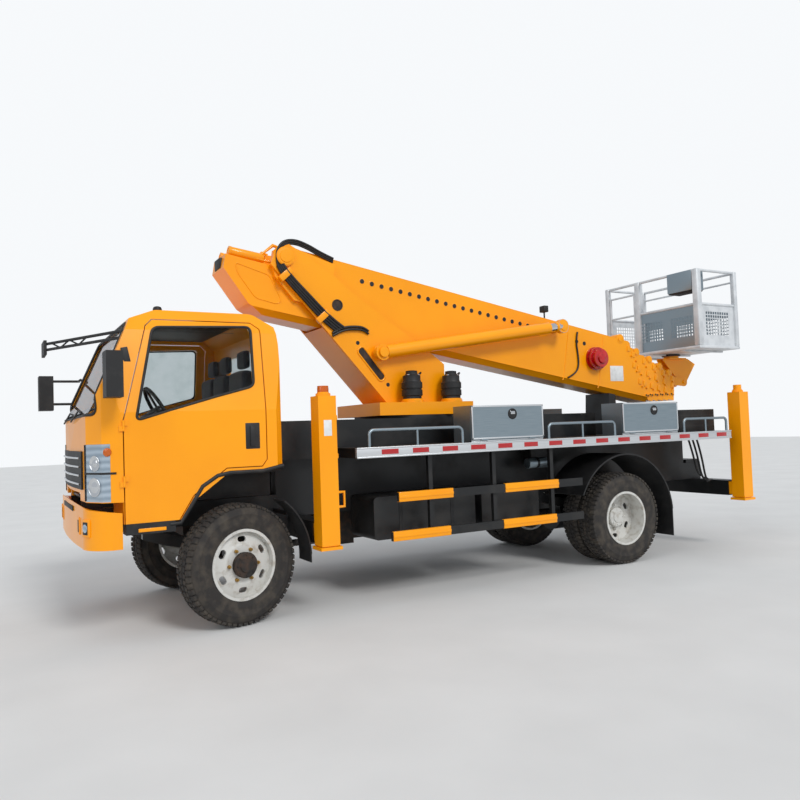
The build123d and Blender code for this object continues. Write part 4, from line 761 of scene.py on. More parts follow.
# Mirror glass, cab lining, seats and instruments
block("mirror_glass_left", (1.085, at(-0.871), 1.815), (1.235, at(-0.868), 2.115), "cab", CHROME)
block("mirror_glass_right", (-1.235, at(-1.151), 1.815), (-1.085, at(-1.148), 2.115), "cab", CHROME)
block("roof_lining", (-0.74, at(-0.52), 2.452), (0.74, at(0.2), 2.46), "cab", GREY, 0.003)
for side, name in RIGHT_FIRST:
    block(f"rear_lining_{name}", (side * 0.46, at(0.348), 1.3),
          (side * 0.86, at(0.356), 2.25), "cab", GREY, 0.003)
block("rear_lining_low", (-0.46, at(0.348), 1.3), (0.46, at(0.356), 1.74), "cab", GREY, 0.003)


def cushion(name, low, high, crown):
    """A padded form with crowned faces and pulled-in corners."""
    low, high = Vector(low), Vector(high)
    deselect()
    bpy.ops.mesh.primitive_cube_add(size=1, location=(low + high) / 2, scale=high - low)
    obj = bevelled(bpy.context.object, min(high - low) * 0.3, 3)
    bake(obj)
    bpy.ops.object.mode_set(mode="EDIT")
    bpy.ops.mesh.select_all(action="SELECT")
    bpy.ops.mesh.subdivide(number_cuts=4)
    bpy.ops.object.mode_set(mode="OBJECT")
    middle, half = (low + high) / 2, (high - low) / 2
    for vertex in obj.data.vertices:
        away = [(vertex.co[axis] - middle[axis]) / half[axis] for axis in range(3)]
        for axis in range(3):
            others = [away[other] for other in range(3) if other != axis]
            swell = (1 - others[0] ** 2) * (1 - others[1] ** 2)
            vertex.co[axis] -= away[axis] * crown * (1 - max(0, swell))
    only(obj)
    modify(obj, "SUBSURF", levels=1, render_levels=1)
    settle(obj, name, "cab", CLOTH, 60)
    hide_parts("seats")
    return obj


# Each seat: name, middle x, width
for name, middle_x, width in (("driver", 0.43, 0.48), ("mate", -0.11, 0.43), ("third", -0.55, 0.43)):
    low_x, high_x = middle_x - width / 2, middle_x + width / 2
    cushion(f"{name}_seat", (low_x, at(-0.215), 1.4), (high_x, at(0.15), 1.53), 0.012)
    cushion(f"{name}_back", (low_x + 0.01, at(0.165), 1.5), (high_x - 0.01, at(0.285), 2.06), 0.012)
    cushion(f"{name}_headrest", (middle_x - 0.12, at(0.22), 2.075), (middle_x + 0.12, at(0.29), 2.235),
            0.008)
    block(f"{name}_seat_box", (low_x + 0.05, at(-0.03), 1.265), (high_x - 0.05, at(0.16), 1.4), "cab",
          MOULDING, 0.01)
block("instrument_hood", (0.22, at(-0.81), 1.64), (0.64, at(-0.74), 1.7), "cab", MOULDING, 0.02)
block("centre_stack", (-0.16, at(-0.735), 1.44), (0.14, at(-0.722), 1.6), "cab", MOULDING, 0.006)
for index, x in enumerate((-0.6, -0.36, 0.18, 0.66)):
    turned(f"air_vent_{index}", (x, at(-0.735), 1.57), (0, 1, 0.1),
           ((0.04, 0), (0.04, 0.012), (0.032, 0.014), (0.03, 0.006), (0.01, 0.004)), "cab", MOULDING, 24)

# Bumper: recesses with a raised rim, fog lamps and grille.
# Each recess: place across, station, width and angle in degrees.
RECESSES = ((0.87, -1.0905, 0.1, 22), (0.64, -1.113, 0.07, 3))
RECESS_Z = 0.86
for side, name in SIDES:
    for index, (x, y, width, angle) in enumerate(RECESSES):
        heading = (0, 0, side * radians(angle))
        place = Vector((side * x, at(y), RECESS_Z))
        for kind, half, bevel, material in (
            ("rim", Vector((width / 2, 0.009, 0.065)), 0.008, YELLOW),
            ("pocket", Vector((width / 2 - 0.015, 0.0115, 0.048)), 0.006, MOULDING),
        ):
            block(f"fog_{kind}_{name}_{index}", place - half, place + half, "chassis", material, bevel,
                  heading)
    x, y, _, angle = RECESSES[0]
    outward = Vector((side * sin(radians(angle)), -cos(radians(angle)), 0))
    turned(f"fog_lamp_{name}", Vector((side * x, at(y), RECESS_Z)) + outward * 0.009, outward,
           ((0.031, -0.004), (0.031, 0.004), (0.026, 0.007), (0.01, 0.008)), "chassis", LENS, 28)
block("bumper_grille", (-0.35, at(-1.134), 0.95), (0.35, at(-1.128), 0.99), "chassis", MOULDING, 0.004)

# Deck edge: aluminium edging with red tape, and the tail lamps
DECK_START_Y, DECK_END_Y = at(0.994), at(5.8)
STRIPE_PITCH = 0.3085
STRIPE_LENGTH = 0.165
for side, name in SIDES:
    x = side * DECK_HALF_WIDTH
    block(f"deck_edge_{name}", (x - side * 0.03, DECK_START_Y, DECK_TOP_Z - 0.086),
          (x + side * 0.003, DECK_END_Y, DECK_TOP_Z + 0.002),
          "chassis", EDGE, 0.002)
    for edge_index, z in enumerate((DECK_TOP_Z - 0.004, DECK_TOP_Z - 0.083)):
        block(f"deck_bead_{name}_{edge_index}", (x - side * 0.006, DECK_START_Y, z - 0.006),
              (x + side * 0.009, DECK_END_Y, z + 0.006), "chassis", EDGE, 0.002)
    stripes = []
    for index in range(15):
        y = at(1.23 + index * STRIPE_PITCH)
        stripes.append(raw_block((x + side * 0.002, y, DECK_TOP_Z - 0.063),
                                 (x + side * 0.005, y + STRIPE_LENGTH, DECK_TOP_Z - 0.019), 0.001))
    joined(stripes, f"deck_tape_{name}", "chassis", TAPE)
    for kind, inner_x, outer_x, material in (("lamp", 0.55, 0.85, TAIL), ("turn", 0.86, 0.98, AMBER)):
        block(f"tail_{kind}_{name}", (side * inner_x, DECK_END_Y, DECK_TOP_Z - 0.08),
              (side * outer_x, DECK_END_Y + 0.022, DECK_TOP_Z - 0.01), "chassis", material, 0.006)

# Side guards: yellow sleeves on the bars
GUARD_SLEEVES = ((0.915, 1.394, 1.956), (0.915, 2.542, 3.194), (0.58, 1.327, 1.917), (0.58, 2.509, 3.154))
for side, name in SIDES:
    for index, (z, first, last) in enumerate(GUARD_SLEEVES):
        x = side * GUARD_FACE_X
        block(f"guard_sleeve_{name}_{index}", (x - side * 0.034, at(first), z - 0.042),
              (x + side * 0.004, at(last), z + 0.042),
              "chassis", YELLOW, 0.004)
        block(f"guard_rib_{name}_{index}", (x + side * 0.003, at(first), z - 0.012),
              (x + side * 0.009, at(last), z + 0.012),
              "chassis", YELLOW, 0.003)

# Toolboxes: edge trims and latches
TOOLBOX_SPANS = (("front", 2.193, 3.043), ("rear", 4.116, 4.955))
TOOLBOX_HEIGHT = 0.342
TOOLBOX_FACE_X = 1.0923
for side, name in SIDES:
    for place, first, last in TOOLBOX_SPANS:
        lid = f"toolbox_lid_{place}_{name}"
        low_z, high_z = DECK_TOP_Z, DECK_TOP_Z + TOOLBOX_HEIGHT
        face = side * TOOLBOX_FACE_X
        latch = Vector((face, at((first + last) / 2 + 0.05), high_z - 0.085))
        turned(f"latch_{place}_{name}", latch, (side, 0, 0),
               ((0.052, -0.002), (0.052, 0.004), (0.046, 0.008), (0.043, 0.003), (0.015, 0.002)), lid,
               MOULDING)
        block(f"latch_paddle_{place}_{name}", latch + Vector((side * 0.002, -0.026, -0.004)),
              latch + Vector((side * 0.011, 0.026, 0.026)), lid, CHROME, 0.005)
        frame_parts = []
        for z in (low_z + 0.034, high_z - 0.009):
            frame_parts.append(raw_block((face - side * 0.004, at(first) + 0.002, z - 0.007),
                                         (face + side * 0.005, at(last) - 0.002, z + 0.007), 0.002))
        for y in (at(first) + 0.009, at(last) - 0.009):
            frame_parts.append(raw_block((face - side * 0.004, y - 0.007, low_z + 0.027),
                                         (face + side * 0.005, y + 0.007, high_z - 0.002), 0.002))
        joined(frame_parts, f"toolbox_frame_{place}_{name}", lid, EDGE)
        block(f"toolbox_sill_{place}_{name}", (side * 1.06, at(first), low_z + 0.001),
              (side * 1.0815, at(last), low_z + 0.02), "chassis", EDGE)

# Tanks: straps and an air bottle
for index, station in enumerate((1.5, 2.05)):
    block(f"tank_strap_{index}", (0.43, at(station), 0.526), (0.904, at(station + 0.04), 0.914), "chassis",
          MOULDING, 0.003)
for index, station in enumerate((1.55, 2.3)):
    block(f"far_tank_strap_{index}", (-0.934, at(station), 0.496), (-0.43, at(station + 0.04), 0.924),
          "chassis", IRON, 0.003)
BOTTLE_X, BOTTLE_Z = 0.62, 1.1
bar("air_bottle", (BOTTLE_X, at(3.2), BOTTLE_Z), (BOTTLE_X, at(3.46), BOTTLE_Z), 0.055, "chassis",
    STAINLESS, 32)
bar("air_bottle_band", (BOTTLE_X, at(3.3), BOTTLE_Z), (BOTTLE_X, at(3.33), BOTTLE_Z), 0.058, "chassis",
    BLACK, 32)
block("air_bottle_bracket", (0.425, at(3.29), 1.09), (0.58, at(3.34), 1.27), "chassis", BLACK, 0.004)

# Outriggers: hand loops, jack caps, hoses, a label and the beacon on the posts
POST_MID_X = 1.07
POST_TOP_Z = 1.8
FRONT_POST_STATION = 0.725
for place, beam_station in (("front", FRONT_POST_STATION), ("rear", 6.02)):
    for side, name in SIDES:
        body = f"beam_{place}_{name}"
        y = at(beam_station)
        loop = ((side * 1.1, y + 0.078, 1.0), (side * 1.1, y + 0.15, 1.0), (side * 1.1, y + 0.15, 0.88),
                (side * 1.1, y + 0.078, 0.88))
        if place == "front":
            tube(f"post_loop_{place}_{name}", loop, 0.013, body, YELLOW, smooth=False)
        turned(f"jack_cap_{place}_{name}", (side * POST_MID_X, y, POST_TOP_Z), (0, 0, 1),
               ((0.062, 0), (0.062, 0.016), (0.05, 0.02), (0.05, 0.03), (0.047, 0.034)), body, YELLOW, 32)
        bolts = ring_of(raw_bar((0.056, 0, 0), (0.056, 0, 0.024), 0.006, 6), 6, "Z")
        bolts.location = (side * POST_MID_X, y, POST_TOP_Z)
        settle(bolts, f"jack_bolts_{place}_{name}", body, YELLOW)
    # The label, hoses and their clips are on the left posts alone
    body = f"beam_{place}_left"
    if place == "front":
        block("post_label_front_left", (1.15, y - 0.035, 1.47), (1.151, y + 0.035, 1.6), body, FILM, 0.0005)
    hose = ((1.03, y + 0.082, 1.72), (1.05, y + 0.115, 1.66), (1.05, y + 0.11, 1.5), (1.04, y + 0.1, 1.3),
            (1.02, y + 0.095, 1.1), (0.985, y + 0.09, 0.86), (0.95, y + 0.06, 0.74))
    tube(f"post_hose_{place}_left", hose, 0.011, body, HOSE)
    for index, z in enumerate((1.62, 1.3)):
        block(f"post_clip_{place}_left_{index}", (1.025, y + 0.079, z - 0.02), (1.07, y + 0.126, z + 0.02),
              body, YELLOW,
              0.005)
turned("beacon", (POST_MID_X, at(FRONT_POST_STATION), 1.832), (0, 0, 1),
       ((0.0475, 0), (0.0475, 0.035), (0.046, 0.04), (0.046, 0.052)), "beam_front_left", AMBER, 40)

# Turret: pin discs, slots, slew ring bolts and slew motors
PLATE_FACE_X = 0.2595
SLOT_Y, SLOT_Z = at(1.603), 2.155
BARREL_PIVOT_Y, BARREL_PIVOT_Z = at(1.68), 2.262
slot_angle = atan2(2.285 - 2.025, 1.711 - 1.495)
for side, name in RIGHT_FIRST:
    turned(f"pivot_cap_{name}", (side * 0.285, BOOM_PIVOT.y, BOOM_PIVOT.z), (side, 0, 0),
           ((0.082, 0), (0.082, 0.004), (0.06, 0.006), (0.058, 0.012), (0.02, 0.013)), "turret_body", YELLOW)
    # The bore is a flat dark iron disc on the plate face: painted shade for the hole's inside.
    turned(f"plate_bore_{name}", (side * PLATE_FACE_X, at(1.254), 2.721), (side, 0, 0),
           ((0.056, 0), (0.056, 0.006), (0.048, 0.006), (0.046, 0.001), (0.02, 0.001)), "turret_body", IRON)
    # The small holes are flat black discs on the plate face: painted shade for the holes.
    for index, (station, z) in enumerate(((1.46, 2.36), (1.78, 1.95))):
        turned(f"plate_hole_{name}_{index}", (side * PLATE_FACE_X, at(station), z), (side, 0, 0),
               ((0.02, 0), (0.02, 0.0015), (0.012, 0.0015)), "turret_body", MOULDING, 24)
    # A thin dark iron sheet fills the slot as its painted shade; the yellow rim goes round it.
    block(f"slot_shade_{name}", (side * 0.258, SLOT_Y - 0.19, SLOT_Z - 0.033),
          (side * 0.2615, SLOT_Y + 0.19, SLOT_Z + 0.033), "turret_body", IRON, 0.001, (-slot_angle, 0, 0))
    loop = rounded(((-0.2, -0.043), (0.2, -0.043), (0.2, 0.043), (-0.2, 0.043)), 0.042)
    spun = [(y * cos(slot_angle) + z * sin(slot_angle), z * cos(slot_angle) - y * sin(slot_angle)) for y,
            z in loop]
    tube(f"slot_rim_{name}", [(side * 0.262, SLOT_Y + y, SLOT_Z + z) for y, z in spun], 0.009,
         "turret_body", YELLOW,
         closed=True, smooth=False)
    turned(f"base_pin_cap_{name}", (side * 0.395, BARREL_PIVOT_Y, BARREL_PIVOT_Z), (side, 0, 0),
           ((0.05, 0), (0.05, 0.008), (0.03, 0.01)), "turret_body", YELLOW, 32)
bolts = ring_of(raw_bar((0.503, 0, 1.608), (0.503, 0, 1.626), 0.011, 6), 36, "Z")
bolts.location = (0, at(2.1), 0)
settle(bolts, "ring_bolts", "chassis", IRON)
for index, station in enumerate((1.985, 2.45)):
    base = Vector((0.38, at(station), 1.7653))
    turned(f"slew_flange_{index}", base, (0, 0, 1),
           ((0.111, 0), (0.111, 0.018), (0.104, 0.022), (0.104, 0.03), (0.098, 0.034)), "turret_body",
           YELLOW, 56)
    turned(f"slew_gearbox_{index}", base + Vector((0, 0, 0.03)), (0, 0, 1),
           ((0.092, 0), (0.092, 0.03), (0.104, 0.036), (0.104, 0.09), (0.096, 0.095), (0.096, 0.104),
            (0.104, 0.109),
            (0.104, 0.165), (0.094, 0.173), (0.088, 0.19), (0.088, 0.235), (0.068, 0.243), (0.058, 0.258),
            (0.058, 0.282),
            (0.034, 0.287)), "turret_body", MOULDING, 48)
    for port in (-1, 1):
        turned(f"slew_port_{index}_{'a' if port > 0 else 'b'}", base + Vector((0.02, port * 0.05, 0.235)),
               (0.4, port * 0.2, 1),
               ((0.012, 0), (0.012, 0.025), (0.016, 0.027), (0.016, 0.045), (0.01, 0.05)), "turret_body",
               CHROME, 12)
    ends = (base + Vector((0.03, 0.05, 0.26)), base + Vector((0.02, 0.1, 0.3)),
            base + Vector((-0.04, 0.12, 0.29)),
            base + Vector((-0.1, 0.1, 0.26)))
    tube(f"slew_hose_{index}", ends, 0.011, "turret_body", HOSE)
for piece_name in ("slew_gearbox_0", "slew_gearbox_1"):
    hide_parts("slew_motors")
finish_node("slew_motors", MOULDING)

# Hoses up the turret's front edge, clamped, and over the boom pivot
for index in range(4):
    x = 0.274 + index * 0.004
    shift = index * 0.026
    run = ((x, at(1.24 + shift * 0.8), 2.46 + shift * 0.55),
           (x, at(1.105 + shift * 0.8), 2.548 + shift * 0.55),
           (x, at(0.9 + shift * 0.7), 2.76 + shift * 0.5), (x, at(0.7 + shift * 0.7), 2.96 + shift * 0.4),
           (x, at(0.655 + shift * 0.6), 3.06 + shift * 0.2))
    tube(f"turret_hose_{index}", run, 0.0135, "turret_body", HOSE)
for index, (station, z) in enumerate(((1.09, 2.6), (0.73, 2.98))):
    block(f"hose_clamp_{index}", (0.259, at(station) - 0.03, z - 0.075),
          (0.298, at(station) + 0.03, z + 0.075),
          "turret_body", YELLOW, 0.005, (radians(-48), 0, 0))
for index in range(3):
    x = 0.272 - index * 0.008
    lift = index * 0.016
    loop = ((x, at(0.658 + lift), 3.06), (x, at(0.64 + lift), 3.17 - lift * 0.2), (x, at(0.7), 3.29 - lift),
            (x - 0.01, at(0.83), 3.322 - lift), (x - 0.03, at(0.98), 3.285 - lift),
            (x - 0.05, at(1.12), 3.225 - lift),
            (x - 0.065, at(1.25), 3.185 - lift))
    piece = tube(f"pivot_hose_{index}", loop, 0.011, "turret_body", HOSE)
    piece.parent = None
    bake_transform(piece)
side_run = ((0.272, at(1.19), 2.42), (0.28, at(1.28), 2.475), (0.28, at(1.42), 2.492),
            (0.278, at(1.53), 2.485),
            (0.27, at(1.575), 2.45))
for index in range(2):
    tube(f"side_hose_{index}", [(x, y, z + index * 0.026) for x, y, z in side_run], 0.012, "turret_body",
         HOSE)


# Boom: holes along the upper side, tail tube, pressed panel, bands and plate
HOLE_PROFILE = ((0.024, 0), (0.024, 0.0032), (0.012, 0.0033))
HOLE_SEAT_X = BOOM_SIDE_X - 0.0005
HOLE_COUNT = 20
HOLE_PITCH = 0.1108
HOLE_START = 0.845
ROD_EYE_Y, ROD_EYE_Z = at(4.0), 2.605
ROD_RUN = Vector((0, 2.32, 0.343))
for side, name in RIGHT_FIRST:
    rims = []
    # Every hole, rimmed or not, is a flat black disc: painted shade for the hole's inside.
    hole_shades = []
    for index in range(HOLE_COUNT):
        s = HOLE_START + index * HOLE_PITCH
        place = on_boom(side * HOLE_SEAT_X, s, -0.018)
        rims.append(raw_turned(place, (side, 0, 0), ((0.03, 0), (0.03, 0.0015), (0.026, 0.0025)), 20))
        hole_shades.append(raw_turned(place, (side, 0, 0), HOLE_PROFILE, 20))
    for s in (3.69, 3.81):
        place = on_boom(side * HOLE_SEAT_X, s, -0.05)
        hole_shades.append(raw_turned(place, (side, 0, 0), HOLE_PROFILE, 20))
    joined(rims, f"boom_hole_rims_{name}", "boom_1", YELLOW)
    joined(hole_shades, f"boom_hole_shades_{name}", "boom_1", MOULDING)
    panel = rounded(((-0.44, -0.15), (-0.1, -0.19), (0.05, -0.4), (0.02, -0.44), (-0.2, -0.43),
                     (-0.4, -0.24)), 0.04)
    tube(f"tail_panel_{name}", [on_boom(side * BOOM_SIDE_X, s, n) for s, n in panel], 0.006, "boom_1",
         YELLOW, closed=True,
         smooth=False)
    for index, s in enumerate((3.55, 4.1)):
        band = ((s, 0.1), (s, -0.5), (s - 0.02, -0.54))
        tube(f"boom_band_{name}_{index}", [on_boom(side * BOOM_SIDE_X, place, n) for place, n in band],
             0.007, "boom_1", YELLOW,
             smooth=False)
    low_edge = [on_boom(side * BOOM_SIDE_X, s, -0.508) for s in (0.0, 1.2, 2.4, 3.6, 4.9)]
    tube(f"boom_fold_{name}", low_edge, 0.004, "boom_1", YELLOW, smooth=False)
    top_edge = [on_boom(side * 0.187, s, 0.118) for s in (0.15, 1.2, 2.4, 3.6, 4.49)]
    tube(f"boom_top_weld_{name}", top_edge, 0.004, "boom_1", YELLOW, smooth=False)
    turned(f"rod_eye_{name}", (side * 0.3115, ROD_EYE_Y, ROD_EYE_Z), (side, 0, 0),
           ((0.074, 0), (0.0795, 0.004), (0.0795, 0.063), (0.074, 0.067), (0.052, 0.068), (0.05, 0.075),
            (0.042, 0.077),
            (0.02, 0.078)), "rods", YELLOW)
    collar_start = Vector((side * 0.345, ROD_EYE_Y, ROD_EYE_Z)) - ROD_RUN.normalized() * 0.1
    turned(f"rod_collar_{name}", collar_start, ROD_RUN, ((0.05, 0), (0.056, 0.004), (0.056, 0.03)), "rods",
           YELLOW)
BOOM_RUN = Vector((0, cos(BOOM_DROOP), -sin(BOOM_DROOP)))
for side, name in RIGHT_FIRST:
    bar(f"tail_tube_{name}", on_boom(side * 0.135, -0.5, -0.048), on_boom(side * 0.135, -0.17, -0.036),
        0.044, "boom_1",
        YELLOW, 32)
    turned(f"tail_tube_cap_{name}", on_boom(side * 0.135, -0.498, -0.048), -BOOM_RUN,
           ((0.047, -0.02), (0.047, 0.004), (0.03, 0.007), (0.026, 0.002)), "boom_1", YELLOW, 32)
    ear = [on_boom(side * 0.16, s, n) for s,
           n in ((-0.24, -0.06), (-0.1, 0.105), (-0.05, 0.1), (-0.06, -0.06))]
    tube(f"tail_ear_{name}", ear, 0.017, "boom_1", YELLOW, closed=True, smooth=False)
# The tail's opening is a flat black block: painted shade for its inside.
block("tail_window", on_boom(-0.09, -0.54, -0.21), on_boom(0.09, -0.53, -0.11), "boom_1", MOULDING, 0.004)
block("boom_plate", on_boom(BOOM_SIDE_X - 0.001, 4.28, -0.42), on_boom(0.1925, 4.46, -0.2), "boom_1", FILM,
      0.001)
hose_points = ((3.68, 0.06), (3.67, -0.05), (3.72, -0.2), (3.75, -0.34), (3.7, -0.44), (3.6, -0.5))
tube("boom_hose", [on_boom(0.201, s, n) for s, n in hose_points], 0.01, "boom_1", HOSE)

# Section heads: round sheave covers, pads, screws and a lug on each side.
# The third cover stands further back, clear of the basket when it is turned.
SHEAVE_SETBACKS = (0.12, 0.09, 0.13, 0.09, 0.09, 0.09)


def down_head(index, share, back):
    """Run and height of a point a share of the way down a section's sloped end."""
    s = BOOM_TOP_ENDS[index] + (BOOM_BOTTOM_ENDS[index] - BOOM_TOP_ENDS[index]) * share - back
    n = BOOM_TOPS[index] + (BOOM_BOTTOMS[index] - BOOM_TOPS[index]) * share
    return s, n


for index in range(6):
    body = f"boom_{index + 1}"
    head = HEAD_HALF_WIDTHS[index]
    top_end, bottom_end = BOOM_TOP_ENDS[index], BOOM_BOTTOM_ENDS[index]
    top, bottom = BOOM_TOPS[index], BOOM_BOTTOMS[index]
    for side, name in RIGHT_FIRST:
        middle = head * 0.62
        cover_s = top_end - SHEAVE_SETBACKS[index]
        start_x, end_x = side * (middle - 0.045), side * (head + 0.002)
        cover_n = top + (0.02 if index else 0.002)
        face = head + 0.004
        bar(f"sheave_cover_{index}_{name}", on_boom(start_x, cover_s, cover_n),
            on_boom(end_x, cover_s, cover_n),
            0.05 if index else 0.06, body, YELLOW, 32)
        turned(f"sheave_cap_{index}_{name}", on_boom(end_x, cover_s, cover_n), (side, 0, 0),
               ((0.036, -0.004), (0.036, 0.006), (0.028, 0.008), (0.012, 0.009)), body, YELLOW, 28)
        pads = []
        for step in range(3):
            s, n = down_head(index, 0.13 + step * 0.27, 0.03)
            corner = on_boom(side * (head + 0.002), s, n)
            reach = Vector((0.008, 0.026, 0.036))
            pads.append(raw_block(corner - reach, corner + reach, 0.006, (-BOOM_DROOP, 0, 0)))
        joined(pads, f"head_pads_{index}_{name}", body, YELLOW)
        feet = []
        for step in range(2):
            s = bottom_end - 0.028 - step * 0.034
            foot_n = bottom + 0.075
            feet.append(raw_bar(on_boom(side * face, s, foot_n), on_boom(side * (face + 0.01), s, foot_n),
                                0.011, 6))
        joined(feet, f"head_foot_screws_{index}_{name}", body, IRON)
        screws = []
        for step in range(3):
            s, n = down_head(index, 0.25 + step * 0.25, 0.025)
            screws.append(raw_bar(on_boom(side * face, s, n), on_boom(side * (face + 0.015), s, n), 0.012,
                                  6))
        joined(screws, f"head_screws_{index}_{name}", body, YELLOW)
        block(f"head_lug_{index}_{name}", on_boom(side * (head - 0.01), bottom_end - 0.09, bottom + 0.05),
              on_boom(side * (head + 0.006), bottom_end - 0.01, bottom + 0.1), body, YELLOW, 0.004)

# Work lamp on the boom's top
lamp_foot = on_boom(0.12, 3.24, 0.12)
bar("lamp_stalk", lamp_foot, lamp_foot + Vector((0, 0, 0.1)), 0.009, "boom_1", MOULDING)
block("work_lamp", lamp_foot + Vector((-0.045, -0.035, 0.09)), lamp_foot + Vector((0.045, 0.03, 0.165)),
      "boom_1", MOULDING, 0.008)
block("work_lamp_lens", lamp_foot + Vector((-0.038, 0.029, 0.097)),
      lamp_foot + Vector((0.038, 0.033, 0.158)), "boom_1", LENS, 0.004)

# Winch: a stepped gearbox with flange bolts
winch_low, winch_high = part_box("winch")
winch_y, winch_z = (winch_low.y + winch_high.y) / 2 + 0.01, (winch_low.z + winch_high.z) / 2
gearbox = turned("winch_gearbox", (winch_low.x, winch_y, winch_z), (1, 0, 0),
                 ((0.138, 0.001), (0.138, 0.018), (0.12, 0.022), (0.12, 0.05), (0.132, 0.054),
                  (0.132, 0.07), (0.1, 0.076),
                  (0.1, 0.1), (0.108, 0.104), (0.108, 0.12), (0.07, 0.126), (0.062, 0.146), (0.03, 0.156),
                  (0.012, 0.158)),
                 "boom_1", RED)
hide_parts("winch")
bolts = ring_of(raw_bar((0.053, 0, 0.12), (0.079, 0, 0.12), 0.008, 6), 12)
bolts.location = (winch_low.x, winch_y, winch_z)
settle(bolts, "winch_bolts", "boom_1", RED)
finish_node("winch", RED)


# Basket: perforated sheets between posts, a ribbed floor, rails, control box
def perforated(name, plane_axis, place, low, high, hole_low, hole_high):
    """A sheet with a field of punched holes: a grid inset face by face, the middles deleted."""
    pitch = 0.042
    columns = max(2, round((high[0] - low[0]) / pitch))
    rows = max(2, round((high[1] - low[1]) / pitch))
    deselect()
    bpy.ops.mesh.primitive_grid_add(x_subdivisions=columns, y_subdivisions=rows, size=1)
    obj = bpy.context.object
    width, height = high[0] - low[0], high[1] - low[1]
    obj.scale = (width, height, 1)
    bake(obj)
    for polygon in obj.data.polygons:
        x = polygon.center.x + (low[0] + high[0]) / 2
        z = polygon.center.y + (low[1] + high[1]) / 2
        polygon.select = any(left < x < right and hole_low < z < hole_high for left, right in FIELDS[name])
    for edge in obj.data.edges:
        edge.select = False
    for vertex in obj.data.vertices:
        vertex.select = False
    bpy.ops.object.mode_set(mode="EDIT")
    bpy.ops.mesh.select_mode(type="FACE")
    bpy.ops.mesh.inset(thickness=pitch * 0.13, use_individual=True)
    bpy.ops.mesh.delete(type="FACE")
    bpy.ops.mesh.select_mode(type="VERT")
    bpy.ops.object.mode_set(mode="OBJECT")
    only(obj)
    modify(obj, "SOLIDIFY", thickness=0.004, offset=0)
    middle = ((low[0] + high[0]) / 2, (low[1] + high[1]) / 2)
    if plane_axis == "Y":
        turn = Matrix.Rotation(pi / 2, 4, "X")
        obj.matrix_world = Matrix.Translation((middle[0], place, middle[1])) @ turn
    else:
        turn = Matrix.Rotation(pi / 2, 4, "Z") @ Matrix.Rotation(pi / 2, 4, "X")
        obj.matrix_world = Matrix.Translation((place, middle[0], middle[1])) @ turn
    # The front and back sheets take the darker grey stainless as painted shade; the side sheets keep the
    # pale basket enamel.
    return settle(obj, name, "basket_body", STAINLESS if plane_axis == "Y" else BASKET, 20)


POST = 0.03
corner_x = BASKET_HALF_WIDTH - POST
front_y, back_y = BASKET_Y - BASKET_HALF_DEPTH + POST, BASKET_Y + BASKET_HALF_DEPTH - POST
floor_top = BASKET_FLOOR_Z + 0.034
# Where each sheet is punched: spans along it
FIELDS = {
    "basket_front_sheet": ((-0.16, 0.18), (0.3, 0.64)),
    "basket_back_sheet": ((-0.64, -0.3), (-0.17, 0.17), (0.3, 0.64)),
    "basket_left_sheet": ((BASKET_Y - 0.22, BASKET_Y + 0.22),),
    "basket_right_sheet": ((BASKET_Y - 0.22, BASKET_Y + 0.22),),
}
floor = block("basket_floor", (-BASKET_HALF_WIDTH, BASKET_Y - BASKET_HALF_DEPTH, BASKET_FLOOR_Z),
              (BASKET_HALF_WIDTH, BASKET_Y + BASKET_HALF_DEPTH, floor_top), "basket_body", BASKET, 0.006)
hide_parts("basket")
POST_SPOTS = (
    ("front_left", corner_x - 0.012, front_y + 0.012, 0.042),
    ("front_right", -corner_x, front_y, POST),
    ("back_left", corner_x, back_y, POST),
    ("back_right", -corner_x, back_y, POST),
    ("gate", GATE_EDGE_X + 0.042, front_y + 0.012, 0.042),
)
for name, x, y, half in POST_SPOTS:
    block(f"basket_post_{name}", (x - half, y - half, floor_top - 0.002), (x + half, y + half, BASKET_TOP_Z),
          "basket_body", BASKET, half * 0.48)
RAIL = 0.017
for level_name, z in (("top", BASKET_TOP_Z - RAIL), ("mid", BASKET_MID_Z)):
    bar(f"rail_back_{level_name}", (-corner_x, back_y, z), (corner_x, back_y, z), RAIL, "basket_body",
        BASKET)
    start_x = -corner_x if level_name == "top" else GATE_EDGE_X + 0.02
    bar(f"rail_front_{level_name}", (start_x, front_y, z), (corner_x, front_y, z), RAIL, "basket_body",
        BASKET)
    for side, name in RIGHT_FIRST:
        bar(f"rail_{name}_{level_name}", (side * corner_x, front_y, z), (side * corner_x, back_y, z),
            RAIL, "basket_body", BASKET)
bar("rail_back_upper", (-corner_x, back_y, 3.2), (corner_x, back_y, 3.2), 0.012, "basket_body", BASKET)
sheet_low, sheet_high = floor_top - 0.002, BASKET_MID_Z
perforated("basket_front_sheet", "Y", front_y, (GATE_EDGE_X + 0.02, sheet_low), (corner_x, sheet_high), 2.5,
           2.76)
perforated("basket_back_sheet", "Y", back_y, (-corner_x, sheet_low), (corner_x, sheet_high), 2.5, 2.76)
perforated("basket_left_sheet", "X", corner_x, (front_y, sheet_low), (back_y, sheet_high), 2.5, 2.8)
perforated("basket_right_sheet", "X", -corner_x, (front_y, sheet_low), (back_y, sheet_high), 2.5, 2.8)
box_low = Vector((BASKET_HALF_WIDTH - 0.46, front_y - 0.02, BASKET_TOP_Z - 0.25))
box_high = Vector((BASKET_HALF_WIDTH - 0.09, front_y + 0.2, BASKET_TOP_Z - 0.002))
block("control_box", box_low, box_high, "basket_body", STAINLESS, 0.008)
block("control_box_floor", box_low + Vector((0.01, 0.01, -0.012)),
      Vector((box_high.x - 0.01, box_high.y - 0.01, box_low.z)),
      "basket_body", IRON, 0.004)
block("control_panel", (box_low.x + 0.02, box_high.y - 0.002, box_low.z + 0.02),
      (box_high.x - 0.02, box_high.y + 0.002, box_high.z - 0.02),
      "basket_body", MOULDING, 0.002)
